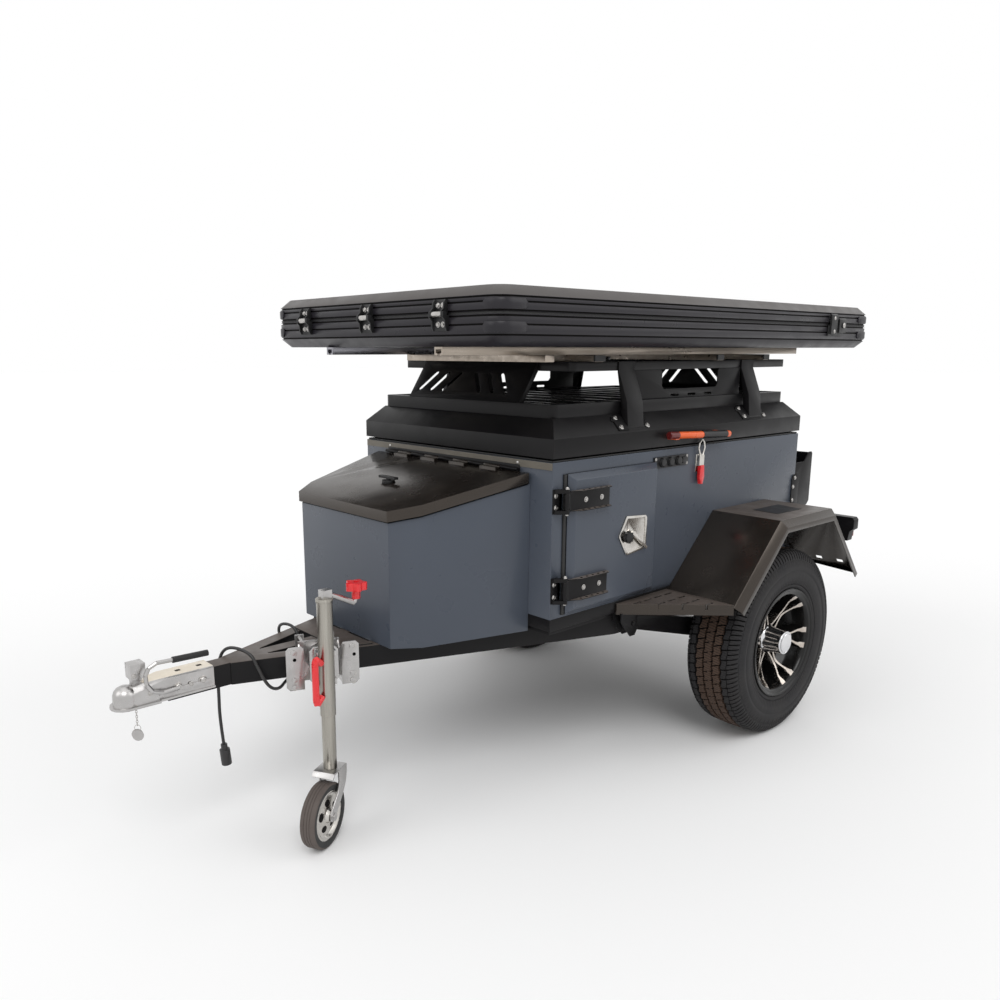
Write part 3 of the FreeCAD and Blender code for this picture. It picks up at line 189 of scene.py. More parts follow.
# Body: folded sheet walls on a perimeter frame, slate grey gloss paint outside, with a rubber seal on its rim
# and a bare strip along the top of the front wall.
def skin(name, points, material, body, closed=(True, False), uv=None, second=None, where=None):
    """A skin over a grid of points[i, j], or one piece of skins over a list of grids: a quad between each four
    neighbours, wrapped round where closed says. Points in one place are made one, and the faces are turned
    outwards by the sign of the volume under them. Faces whose first corner is in where take the second material;
    uv, the map of a tread, is a pair for each point, whose first number goes on counting over the wrap."""
    all_flat, all_loops, all_counts, start = [], [], [], 0
    for grid in points if isinstance(points, list) else [points]:
        nu, nv = grid.shape[:2]
        i, j = np.meshgrid(np.arange(nu if closed[0] else nu - 1), np.arange(nv if closed[1] else nv - 1),
                           indexing="ij")
        i, j = i.ravel(), j.ravel()
        corner_i = np.stack([i, i + 1, i + 1, i], 1)
        corner_j = np.stack([j, j, j + 1, j + 1], 1)
        flat, same = np.unique(np.round(grid.reshape(-1, 3), 7), axis=0, return_inverse=True)
        quads = same.reshape(nu, nv)[corner_i % nu, corner_j % nv]
        a, b, c, d = (flat[quads[:, k]] - flat[0] for k in range(4))
        volume = (np.einsum("ij,ij->i", a, np.cross(b, c)) + np.einsum("ij,ij->i", a, np.cross(c, d))).sum()
        if volume < 0:
            quads, corner_i, corner_j = quads[:, ::-1], corner_i[:, ::-1], corner_j[:, ::-1]
        keep = quads != np.roll(quads, 1, axis=1)
        whole = keep.sum(1) >= 3
        keep &= whole[:, None]
        all_flat.append(flat)
        all_loops.append(quads[keep] + start)
        all_counts.append(keep.sum(1)[whole])
        start += len(flat)
    flat, loops, counts = (np.concatenate(part) for part in (all_flat, all_loops, all_counts))
    mesh = bpy.data.meshes.new(name)
    mesh.vertices.add(len(flat))
    mesh.vertices.foreach_set("co", flat.ravel())
    mesh.loops.add(len(loops))
    mesh.loops.foreach_set("vertex_index", loops.astype(np.int32))
    mesh.polygons.add(len(counts))
    mesh.polygons.foreach_set("loop_start", np.concatenate([[0], np.cumsum(counts)[:-1]]).astype(np.int32))
    mesh.update(calc_edges=True)
    mesh.materials.append(material)
    if second:
        mesh.materials.append(second)
        mesh.polygons.foreach_set("material_index", where[i % nu, j % nv][whole].astype(np.int32))
    if uv is not None:
        layer = mesh.uv_layers.new(name="tread")
        pairs = uv[corner_i % nu, corner_j % nv].copy()
        pairs[..., 0] += np.where(corner_i >= nu, math.ceil(uv[-1, 0, 0] - uv[0, 0, 0]), 0)
        layer.data.foreach_set("uv", pairs[keep].ravel())
    mesh.polygons.foreach_set("use_smooth", np.ones(len(counts), bool))
    mesh.set_sharp_from_angle(angle=math.radians(35))
    o = bpy.data.objects.new(name, mesh)
    bpy.context.scene.collection.objects.link(o)
    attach(o, body)
    return o


def at(*mm):
    """Points in mm from the body's front wall, as an array in metres."""
    return (np.array(mm, float) + (wall_x * 1000, 0, 0)) / 1000


def pad(outline, origin, u, v, rows):
    """A plate's grid on the plane of u and v: its outline, in mm, is drawn in towards its middle by each row's
    first number and lifted by the second, and the middle itself closes both faces."""
    outline = np.array(outline, float)
    middle = outline.mean(0)
    out = outline - middle
    far = np.linalg.norm(out, axis=1, keepdims=True)
    rings = [(middle + 0 * out, rows[0][1])] + [(middle + out * (1 - d / far), h) for d, h in rows] + \
            [(middle + 0 * out, rows[-1][1])]
    u, v = np.array(u, float), np.array(v, float)
    lift = np.cross(u, v)
    flat = [np.array(origin, float) + q[:, :1] * u + q[:, 1:] * v + h * lift for q, h in rings]
    return at(*np.stack(flat, 1))


slate = finish_of("slate paint", (0.062, 0.073, 0.094), 0.3, coat=0.04, gloss=0.3, mottle=0.5, mottle_size=2.2,
                  second=(0.072, 0.083, 0.104), rough_swing=0.05)
rubber = finish_of("black rubber", (0.012, 0.012, 0.012), 0.6, bump=0.2, bump_size=800)
rim_strip = finish_of("rim strip", (0.15, 0.135, 0.11), 0.42, metal=0.4, mottle=0.4, mottle_size=9,
                      second=(0.11, 0.10, 0.085), rough_swing=0.06)
for name, finish, edge in (("body_shell", slate, 0.0015), ("body_base", black_coat, 0.002),
                           ("body_seal", rubber, 0.002)):
    dress(name, finish, edge)
skin("front_strip", [pad([(-503, 1112), (503, 1112), (503, 1135), (-503, 1135)], (0, 0, 0), (0, 1, 0), (0, 0, 1),
                         [(0, 0), (0, 1.4), (0.8, 2)])], rim_strip, "trailer")


# Doors: a raised panel with bevelled sides on a plug, hung on flanged straps with pins, and shut by a
# stainless paddle latch in a pan. Each strap has two round bolts and a row of holes in its flanges, painted as
# black discs of shade, and a rubber strip closes the hinge side.
def bolt_heads(name, places, facing, across, body="trailer", sides=16, high=0.3):
    """Heads of bolts in one piece: round each place, rings of a washer, the head's sides and its rounded top with
    a shallow hollow, stacked along facing. Places and across, the head's width, are in mm, and high is its height
    over that width. Under twelve sides the head is cut to flats by one over the cosine; otherwise it is round."""
    facing = np.array(facing, float) / np.linalg.norm(facing)
    side = np.cross(facing, [0, 0, 1] if abs(facing[2]) < 0.9 else [1, 0, 0])
    side /= np.linalg.norm(side)
    up = np.cross(facing, side)
    r = across / 2000
    rings = np.array([(0, -0.3), (1.4, -0.3), (1.4, 0.14), (1.3, 0.2), (1.0, 0.2), (1.0, 2 * high - 0.22),
                      (0.86, 2 * high), (0.5, 2 * high), (0.42, 2 * high - 0.2), (0, 2 * high - 0.2)]) * r
    t = np.linspace(0, 2 * math.pi, 24 if sides < 12 else 16, endpoint=False)
    in_flat = (t + math.pi / sides) % (2 * math.pi / sides) - math.pi / sides
    hexed = 1 / np.cos(in_flat) if sides < 12 else np.ones(len(t))
    radius = rings[None, :, 0] * np.where(np.isin(np.arange(10), (4, 5)), hexed[:, None], 1)
    ring = radius[..., None] * (np.cos(t)[:, None, None] * side + np.sin(t)[:, None, None] * up)
    ring = ring + rings[None, :, 1, None] * facing
    return skin(name, [ring + place for place in at(*places)], bolt_steel, body)


def turned(start, end, rows, sides=24):
    """A turned piece's grid about the line from start to end, in mm: each row is a place along it and a radius."""
    start, end = np.array(start, float), np.array(end, float)
    axis = (end - start) / np.linalg.norm(end - start)
    side = np.cross(axis, [0, 0, 1] if abs(axis[2]) < 0.9 else [1, 0, 0])
    side /= np.linalg.norm(side)
    up = np.cross(axis, side)
    rows = np.array(rows, float)
    t = np.linspace(0, 2 * math.pi, sides, endpoint=False)[:, None, None]
    return at(*(start + rows[None, :, :1] * axis + rows[None, :, 1:] * (np.cos(t) * side + np.sin(t) * up)))


def disc(radius, x, z):
    """A circle of sixteen points round (x, z), as a pad's outline."""
    t = np.linspace(0, 2 * math.pi, 16, endpoint=False)
    return np.stack([x + radius * np.cos(t), z + radius * np.sin(t)], 1)


def strip(path, up, section, closed=False):
    """A sweep's grid: the section's points (out, up), in mm, are carried along the path and mitred at its corners;
    the middle of the section closes each open end."""
    path, up = np.array(path, float), np.array(up, float)
    way = np.roll(path, -1, 0) - path if closed else np.diff(path, axis=0)
    way = way / np.linalg.norm(way, axis=1, keepdims=True)
    n = np.cross(way, up)
    before = np.roll(n, 1, 0) if closed else np.vstack([n[:1], n])
    after = n if closed else np.vstack([n, n[-1:]])
    mitre = (before + after) / (1 + (before * after).sum(1, keepdims=True))
    section = np.array(section, float)
    grid = path[:, None] + section[None, :, :1] * mitre[:, None] + section[None, :, 1:] * up
    if not closed:
        grid = np.concatenate([0 * grid[:1] + grid[:1].mean(1, keepdims=True), grid,
                               0 * grid[-1:] + grid[-1:].mean(1, keepdims=True)])
    return at(*grid)


stainless = finish_of("stainless", (0.62, 0.60, 0.57), 0.22, metal=1.0, mottle=0.6, mottle_size=30,
                      second=(0.45, 0.42, 0.38), rough_swing=0.08, bump=0.1, bump_size=300)
bolt_steel = finish_of("bolt steel", (0.52, 0.505, 0.49), 0.3, metal=1.0, mottle=0.4, mottle_size=200,
                       second=(0.36, 0.345, 0.32), rough_swing=0.08)
black_plastic = finish_of("black plastic", (0.010, 0.010, 0.011), 0.4, gloss=0.35, bump=0.12, bump_size=700,
                          rough_swing=0.06, mottle=0.4, second=(0.018, 0.017, 0.016))
# Black for holes that are not cut in the mesh: painted shade, drawn as flat discs.
painted_hole_shade = finish_of("hole", (0.002, 0.002, 0.002), 0.9, gloss=0.0, bump=0.1)
# A painted highlight: the lit light brown of the straps' flat flange faces.
painted_flange_highlight = finish_of("flange highlight", (0.21, 0.175, 0.155), 0.4, metal=0.3, mottle=0.8, mottle_size=40,
                      second=(0.10, 0.085, 0.075), rough_swing=0.08)
wall_y, strap_y, pin_x, pin_y = 505, 534, -38, 533
hole_rows = [(0, 0), (0, 0.35), (0.4, 0.5)]
for side, m in (("left", 1), ("right", -1)):
    door = side + "_door"
    dress("door_" + side, slate, 0.0025)
    # The straps' faces that face up or down take the painted highlight.
    dress("door_strap_" + side, black_coat, 0.0008, [painted_flange_highlight], lambda x, y, z, up: np.abs(up) > 0.5)
    dress("door_latch_" + side, stainless, 0.0012, [black_plastic],
          lambda x, y, z, up: (np.abs(y) > 539.5) & (np.hypot(x + 338, z - 858) < 26))
    frame_of_door = [(x, m * (wall_y + 0.4), z) for x, z in ((-521, 635), (-67, 635), (-67, 1093), (-521, 1093))]
    skin("door_gasket_" + side, [strip(frame_of_door, (0, m, 0), [(-4, 0), (4, 0), (4, 5.2), (-4, 5.2)], True)],
         rubber, door, closed=(True, True))
    skin("hinge_strip_" + side, [strip([(-54, m * (wall_y + 0.2), z) for z in (632, 1096)], (0, m, 0),
                                       [(-6, 0), (6, 0), (6, 5), (3, 8), (-3, 8), (-6, 5)])],
         rubber, "trailer", closed=(False, True))
    bolt_heads("strap_bolts_" + side, [(x, m * strap_y, z) for x in (-128, -206) for z in (718, 1011)],
               (0, m, 0), 13, door, high=0.28)
    skin("strap_holes_" + side, [pad(disc(4.6, x, m * 543), (0, 0, z), (1, 0, 0), (0, 1, 0), hole_rows)
                                 for x in (-218, -190, -162, -134, -106) for z in (686, 756, 982, 1046)],
         painted_hole_shade, door)
    bolt_heads("leaf_bolts_" + side, [(-13, m * 509, z) for z in (698, 741, 993, 1032)], (0, m, 0), 13, high=0.28)
    for end, way, heights in (("heads", 1, (765, 1055)), ("ends", -1, (677, 973))):
        bolt_heads("pin_%s_%s" % (end, side), [(pin_x, m * pin_y, z) for z in heights], (0, 0, way), 11, high=0.4)
    skin("leaf_feet_" + side, [pad([(-m * 45, z0), (-m * 27, z0), (-m * 27, z1), (-m * 45, z1)],
                                   (0, m * wall_y, 0), (m, 0, 0), (0, 0, 1), [(0, 0), (0, 3), (1, 4)])
                               for z0, z1 in ((681, 758), (977, 1048))], black_coat, "trailer")
dress("door_hinge_leaves", black_coat, 0.0008)
skin("strip_screws", [turned((0, y, 1124), (5, y, 1124), [(0, 0), (0, 5), (2.6, 5), (3.6, 3.4), (3.6, 0)])
                      for y in (349, -349)], bolt_steel, "trailer")

# Roof lid: a hollow lid folded from black coated sheet with sloped shoulders, which closes on the body's seal
# and turns on leaves along the far side.
dress("roof_lid", black_coat, 0.003)
dress("lid_hinge_fixed", black_coat, 0.0008)

# Rack on the lid: tray, plates, posts and upper frame of folded sheet and tube. Each post's foot has a tab down
# the lid's slope with two round bolts and a third behind it; the open ends of bars and tubes have black plugs.
for name in ("rack_tray", "rack_upper_frame", "rack_end_plates", "rack_side_plates", "rack_posts"):
    dress(name, black_coat, 0.0016)
mill = finish_of("mill aluminium", (0.44, 0.385, 0.33), 0.34, metal=1.0, mottle=0.7, mottle_size=14,
                 second=(0.27, 0.23, 0.19), rough_swing=0.1, bump=0.08, bump_size=60, stretch=(0.08, 1, 1))
rail_grey = finish_of("rail anodising", (0.34, 0.34, 0.37), 0.3, metal=1.0, mottle=0.6, mottle_size=10,
                      second=(0.22, 0.21, 0.23), rough_swing=0.08, stretch=(0.08, 1, 1))
dress("tent_rails", mill, 0.0012, [rail_grey], lambda x, y, z, up: (z > 1466.5) & (y < 0))
slope_out, slope_up = 0.726, 0.688
bar_y, bar_low, bar_high = 458, 1445, 1465.5
tabs, plugs = [], []
for m in (1, -1):
    for x in (-420, -1180):
        tabs.append(pad([(-m * (x + 43), 9), (-m * (x + 96), 9), (-m * (x + 96), 70), (-m * (x + 43), 70)],
                        (0, m * 507, 1210), (-m, 0, 0), (0, -m * slope_up, slope_out),
                        [(0, 0), (0, 3.8), (0.7, 4.4)]))
        bolt_heads("foot_bolts_%s_%d" % ("lr"[m < 0], -x),
                   [(x + 78, m * 467, 1258.3), (x + 78, m * 495.2, 1228.8), (x - 65, m * 494.2, 1227.8)],
                   (0, m * slope_out, slope_up), 14, "lid")
    for x, half in ((-262, 27), (-966, 21), (-1294, 21)):
        plugs.append(pad([(-m * (x + half), bar_low), (-m * (x - half), bar_low), (-m * (x - half), bar_high),
                          (-m * (x + half), bar_high)], (0, m * bar_y, 0), (-m, 0, 0), (0, 0, 1),
                         [(0, -2), (0, 3), (1.5, 5)]))
    plugs.append(turned((-301, m * 456, 1456), (-301, m * 470, 1456), [(0, 0), (0, 6), (12, 6), (14, 3), (14, 0)],
                        12))
skin("foot_tabs", tabs, black_coat, "lid")
skin("bar_plugs", plugs, black_plastic, "lid")

# Roof tent: two hard shells of ribbed black extrusion round a flat panel, hinged at the front, with a rubber seal
# between them, bent covers on the corners, and the bedding inside. Seen from above, each shell is a rectangle
# with round corners: its corners' middles are corner_y to each side of tent_y, at x = front_x and rear_x.
tent_coat = finish_of("tent coat", (0.0125, 0.0115, 0.0155), 0.34, gloss=0.3, mottle=0.6, mottle_size=4,
                      second=(0.021, 0.018, 0.022), rough_swing=0.08, bump=0.05, bump_size=500)
# The cap's warm grey: the panel's own dark colour, lightened by a painted reflection.
cap_coat_and_sheen = finish_of("cap coat and sheen", (0.065, 0.058, 0.055), 0.36, gloss=0.4, mottle=0.2, mottle_size=3,
                     second=(0.095, 0.082, 0.074), rough_swing=0.08, bump=0.03, bump_size=500)
# Near-black for the tent's grooves and the jockey rim's hollows: painted shade in recesses.
painted_recess_shade = finish_of("groove", (0.003, 0.0025, 0.0025), 0.6, gloss=0.1, bump=0.1, mottle=0.5,
                         second=(0.008, 0.005, 0.0045))
bedding = finish_of("bedding", (0.22, 0.21, 0.19), 0.9, bump=0.6, bump_size=900, mottle=0.6,
                    second=(0.28, 0.27, 0.25))
front_x, rear_x, tent_y, corner_y, corner_round = 261, -1860, -24, 556, 52
seal_z, hinge_x, cap_z = 1579.5, 318, 1632.5
hinge_y = (-409, -32, 341)


def tent_parts(x, y, z, up):
    """The tent's finishes by place: 1, a painted shade, in the grooves, which lie between 2.2 and 8 mm inside the
    shells' outline by the distance to a rectangle with round corners, 2 on the cap, whose lighter coat is partly a
    painted reflection, and 0 elsewhere."""
    qx, qy = np.abs(x - (front_x + rear_x) / 2) - (front_x - rear_x) / 2, np.abs(y - tent_y) - corner_y
    deep = corner_round - np.hypot(np.maximum(qx, 0), np.maximum(qy, 0)) - np.minimum(np.maximum(qx, qy), 0)
    return np.where(z > cap_z, 2, np.where((deep > 2.2) & (deep < 8), 1, 0))


for name in ("tent_base", "tent_top"):
    dress(name, tent_coat, 0.0008, [painted_recess_shade, cap_coat_and_sheen], tent_parts)
dress("tent_mattress", bedding, 0.004)
dress("tent_hinge_low", black_plastic, 0.0006)
dress("tent_hinge_high", black_plastic, 0.0004, [bolt_steel],
      lambda x, y, z, up: (np.hypot(x - 328, z - 1584) < 9) & (np.min([abs(y - c) for c in hinge_y], 0) < 21.5))
dress("tent_latches", black_plastic, 0.0008)
seal_path = [(cx + 45 * math.cos(a), tent_y + cy + 45 * math.sin(a), seal_z)
             for k, (cx, cy) in enumerate([(front_x, corner_y), (rear_x, corner_y), (rear_x, -corner_y),
                                           (front_x, -corner_y)])
             for a in np.radians(np.linspace(90 * k, 90 * k + 90, 7))]
skin("tent_seal", [strip(seal_path, (0, 0, 1), [(-4, 0), (4, 0), (4, 6.9), (-4, 6.9)], True)], rubber, "lid",
     closed=(True, True))
for name, body, z in (("low", "lid", 1555), ("high", "tent_cover", 1609)):
    bolt_heads("hinge_bolts_" + name, [(hinge_x, y + d, z) for y in hinge_y for d in (-11, 11)], (1, 0, 0), 12,
               body, high=0.35)


def corner_cover(front, left, z0, z1):
    """A cover bent round a corner of a shell: the path runs along the side, round the corner's arc and a little
    way along the end, and the section is a flat pad with bevelled edges that narrows at both ends."""
    cx, way = (front_x, 1) if front else (rear_x, -1)
    side = 1 if left else -1
    arc = [(cx + way * corner_round * math.sin(a), corner_y + corner_round * math.cos(a))
           for a in np.radians(np.linspace(0, 90, 9))]
    line = [(cx - way * d, corner_y + corner_round) for d in (58, 48, 20)] + arc + \
           [(cx + way * corner_round, corner_y - d) for d in (4, 10)]
    path = [(x, side * y + tent_y, (z0 + z1) / 2) for x, y in line]
    h = (z1 - z0) / 2
    section = [(-2.5, -h), (1.5, -h), (3.5, -h + 3), (3.5, h - 3), (1.5, h), (-2.5, h)]
    grid = strip(path, (0, 0, 1), [(-way * side * out, up) for out, up in section])
    ends = np.ones(len(grid))
    ends[[0, 1, -2, -1]] = 0.35
    middle = (z0 + z1) / 2000
    grid[..., 2] = middle + (grid[..., 2] - middle) * ends[:, None]
    return grid


for name, body, z0, z1 in (("low", "lid", 1530, 1560), ("high", "tent_cover", 1594, 1623)):
    skin("tent_corners_" + name, [corner_cover(f, l, z0, z1) for f in (True, False) for l in (True, False)],
         tent_coat, body, closed=(False, True))
for side, m, y in (("left", 1, 598), ("right", -1, -646)):
    bolt_heads("latch_screws_" + side, [(-1572, y - m * 0.5, 1610), (-1572, y, 1557)], (0, m, 0), 11, "lid",
               high=0.25)
    bolt_heads("latch_key_" + side, [(-1636, y + m * 8, 1582)], (0, m, 0), 15, "lid", high=0.14)

# Tongue box: a box of the body's slate sheet with bevelled corners, seated on the drawbar, under a black lid that
# slopes to the front, turns on a long hinge, and is shut by a T-handle lock.
satin_coat = finish_of("satin black", (0.012, 0.0100, 0.009), 0.24, gloss=0.6, mottle=0.6, mottle_size=2.5,
                       second=(0.020, 0.016, 0.013), rough_swing=0.06, tint=(1.0, 0.88, 0.78))
for name, finish, edge in (("tongue_box", slate, 0.002), ("tongue_lid", satin_coat, 0.003),
                           ("tongue_hinge", black_coat, 0.0006), ("tongue_lock", black_plastic, 0.0006)):
    dress(name, finish, edge)

# Fenders and steps: folded plate in satin black, with a painted warm reflection on top and a flat grip patch on
# each fender; and the bumper with its lamps, the can holder with its tab's bolts, and the bottle, in the chassis's
# black coat.
for name in ("rear_bumper", "can_holder", "gas_bottle"):
    dress(name, black_coat, 0.0015)
for name in ("fenders", "steps"):
    # Faces that face up take the painted reflection.
    dress(name, satin_coat, 0.0015, [painted_top_sheen], lambda x, y, z, up: up > 0.9)
skin("grip_patches", [pad([(-m * 1024, 605), (-m * 1016, 715), (-m * 1185, 720), (-m * 1206, 608)][::m],
                          (0, 0, 878), (m, 0, 0), (0, m, 0), [(0, 0), (0, 0.6), (0.6, 1)]) for m in (1, -1)],
     black_coat, "trailer")
bolt_heads("holder_bolts", [(-1514, 509, 946), (-1503, 509, 908), (-1503, 509, 850)], (0, 1, 0), 12)
lens_red = finish_of("lamp lens", (0.35, 0.01, 0.012), 0.12, coat=0.6, bump=0.3, bump_size=220)
dress("tail_lamps", lens_red, 0.002)

# Small things on the near side: a panel of three capped sockets, the lid's bar handle with its moulded sleeves,
# and the bright pull toggle in its red sleeve.
orange = finish_of("orange grip", (0.78, 0.115, 0.018), 0.35, rough_swing=0.08, bump=0.1)
dark_red = finish_of("dark red sleeve", (0.11, 0.008, 0.008), 0.35, rough_swing=0.06, bump=0.08)
red = finish_of("red grip", (0.72, 0.015, 0.02), 0.3, coat=0.3, rough_swing=0.06, bump=0.08)
dress("socket_panel", black_plastic, 0.001)
dress("lid_handle", orange, 0.001)
dress("toggle_latch", stainless, 0.001, [red], lambda x, y, z, up: (y > 512.5) & (z < 1064.5))


def on_handle(x0, x1, radius):
    """A sleeve with rounded ends on the lid handle's bar, which falls by 16 mm over its 373."""
    z0, z1 = (1190 + (x + 552) * 16 / 373 for x in (x0, x1))
    long = math.hypot(x1 - x0, z1 - z0)
    return turned((x0, 541, z0), (x1, 541, z1), [(0, 0), (0, radius - 1.5), (1.5, radius), (long - 1.5, radius),
                                                 (long, radius - 1.5), (long, 0)])


skin("handle_sleeve", [on_handle(-550, -601, 13)], dark_red, "lid")
skin("handle_grip", [on_handle(-748, -905, 14)], black_plastic, "lid")
socket_x = (-556, -603, -650)
skin("socket_caps", [turned((x, 518, 1092), (x, 528, 1092), [(0, 0), (0, 14.5), (4, 14.5), (6, 12), (6.5, 0)])
                     for x in socket_x], black_plastic, "trailer")
skin("socket_tabs", [pad([(-x - 5, 1104), (-x + 5, 1104), (-x + 4, 1109.5), (-x - 4, 1109.5)], (0, 511, 0),
                         (-1, 0, 0), (0, 0, 1), [(0, 0), (0, 9), (1, 10)]) for x in socket_x], black_plastic,
     "trailer")
bolt_heads("panel_screws", [(x, 511, z) for x in (-522, -707) for z in (1079, 1105)], (0, 1, 0), 8, high=0.25)

# Coupler: pressed steel, bright zinc, with its lever and lock, bolts through its sides, and a pair of round keys
# that hang on a chain from its lip.
zinc = finish_of("zinc plate", (0.50, 0.49, 0.485), 0.3, metal=1.0, mottle=0.6, mottle_size=9,
                 second=(0.34, 0.33, 0.32), rough_swing=0.06, bump=0.03, bump_size=90)
# Light cream on the coupler's faces that face up: a painted highlight on the zinc.
zinc_top_highlight = finish_of("zinc top highlight", (0.78, 0.71, 0.60), 0.35, metal=1.0, mottle=0.5, mottle_size=20,
                     second=(0.62, 0.55, 0.45), rough_swing=0.06)
dress("coupler", zinc, 0.001, [zinc_top_highlight], lambda x, y, z, up: (up > 0.9) & (z > 560) & (x < 1150))
dress("coupler_handle", zinc, 0.0)
dress("coupler_lock", zinc, 0.0015)
dress("coupler_grip", black_plastic, 0.0015)
for side, m in (("left", 1), ("right", -1)):
    bolt_heads("coupler_bolts_" + side, [(1056, m * 36, 535), (981, m * 36, 536)], (0, m, 0), 17,
               sides=6, high=0.62)
    bolt_heads("coupler_rivets_" + side, [(1018, m * 40, 532), (1137, m * 34, 533), (1174, m * 21, 590)],
               (0, m, 0), 11)


def link(middle, long, wide, wire, u, v):
    """A wire ring's grid in mm: an oval in the plane of u and v, and a circle of the wire's radius round it."""
    u, v = np.array(u, float), np.array(v, float)
    t, p = np.meshgrid(np.linspace(0, 2 * math.pi, 20, endpoint=False),
                       np.linspace(0, 2 * math.pi, 8, endpoint=False), indexing="ij")
    t, p = t[..., None], p[..., None]
    return at(*(np.array(middle, float) + (long + wire * np.cos(p)) * np.cos(t) * u
                + (wide + wire * np.cos(p)) * np.sin(t) * v + wire * np.sin(p) * np.cross(u, v)))


key_x, key_y, key_thick, chain_wire, chain_top, pitch_z = 1180, 34, 2.4, 0.9, 505, 7.5
chain = [link((key_x, key_y, chain_top - pitch_z * k), 5, 2.6, chain_wire, (0, 0, 1), [(1, 0, 0), (0, 1, 0)][k % 2])
         for k in range(8)]
chain.append(link((key_x, key_y, 441), 9, 9, chain_wire, (0, 0, 1), (0.76, -0.65, 0)))
keys = [turned((key_x, key_y + y, z), (key_x + 0.65 * key_thick, key_y + y + 0.76 * key_thick, z),
               [(0, 0), (0, 15.5), (0.4, 16.3), (2, 16.3), (2.4, 15.5), (2.4, 12), (1.9, 11), (1.9, 0)], 40)
        for y, z in ((0, 419), (-4, 421))]
skin("key_chain", chain, bolt_steel, "trailer", closed=(True, True))
skin("keys", keys, zinc, "trailer")

# Jockey wheel: zinc plated tube, clamp, crank and fork with red grips. Its wheel is a solid rubber tyre with three
# fine grooves, on a rim with five hollows a side, painted as dark ovals of shade. The mount is bolted to the
# drawbar's arm.
drab_rubber = finish_of("drab rubber", (0.085, 0.068, 0.06), 0.75, bump=0.3, bump_size=500, mottle=0.6,
                        second=(0.12, 0.10, 0.09))
zinc_tube = finish_of("zinc tube", (0.46, 0.44, 0.395), 0.3, metal=1.0, mottle=0.9, mottle_size=34,
                      second=(0.22, 0.205, 0.18), rough_swing=0.06, stretch=(1, 1, 0.04))
for finish, edge, names in ((zinc, 0.0008, ("jockey_mount", "jockey_head", "jockey_fork", "jockey_crank")),
                            (zinc_tube, 0.0008, ("jockey_tube", "jockey_inner_tube")),
                            (stainless, 0.0008, ("jockey_rim",)), (red, 0.002, ("jockey_pull", "jockey_knob"))):
    for name in names:
        dress(name, finish, edge)
# The mount's empty bolt holes: black discs of painted shade.
skin("mount_holes", [pad(disc(5.5, 0, 0), p, (-0.94, 0.342, 0), (0, 0, 1), hole_rows)
                     for p in ((744, 159, 571), (572, 221.8, 567))], painted_hole_shade, "trailer")
bolt_heads("mount_bolts", [(743, 159.3, 592), (744, 159, 503), (746, 158.3, 481), (572, 221.8, 593),
                           (573, 221.4, 503), (575, 220.7, 479)], (0.342, 0.94, 0), 11)
hub = np.array([728.1, 261.7, 100.0])
axle = np.array([-0.485, 0.875, 0])
ahead = np.array([0.875, 0.485, 0])
tread = [(3, 76), (0, 84), (0, 94), (2.5, 98), (8, 100)]
for x in (14, 24, 33):
    tread += [(x, 100), (x + 0.5, 98.5), (x + 2, 98.5), (x + 2.5, 100)]
tread += [(42, 100), (47.5, 98), (50, 94), (50, 84), (47, 76)]
tyre_sides, half_tyre = 96, 25
row = np.arange(len(tread))
walls = np.tile((row < 3) | (row >= len(tread) - 3), (tyre_sides, 1))
small_tyre = skin("small_tyre", [turned(hub - half_tyre * axle, hub + half_tyre * axle, tread, tyre_sides)],
                  drab_rubber, "jockey_wheel", closed=(True, True), second=rubber, where=walls)
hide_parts("jockey_tyre")
# The rim's hollows: dark oval pads of painted shade.
dish, hollows = 0.158, []
oval = [(11 * math.cos(t), 14 * math.sin(t)) for t in np.linspace(0, 2 * math.pi, 20, False)]
for m in (1, -1):
    for a in np.radians(np.arange(5) * 72 + 18):
        out = math.cos(a) * ahead + math.sin(a) * np.array([0, 0, 1.0])
        along = (out - m * dish * axle) / math.hypot(1, dish)
        across = np.cross(along, m * axle)
        hollows.append(pad(oval, hub + 41 * out + m * 17 * axle, along, -across, hole_rows))
skin("rim_hollows", hollows, painted_recess_shade, "jockey_wheel")

# Road wheels: all-terrain tyres on black alloy rims. The tread has a centre rib, two block ribs and two rows of
# shoulder blocks round each side, parted by zigzag grooves whose sunken faces are painted near-black as shade;
# road dust has left the middle ribs brown. The pattern repeats tyre_pitches times round the tyre.
tyre_pitches = 60
wheel_centre = np.array([wall_x - 1.070, 0.650, 0.3675])


def zigzag(t):
    """A triangle wave of period one and height one, from -1 at t = 0 to 1 at t = 0.5."""
    return 1 - 4 * np.abs((t % 1.0) - 0.5)


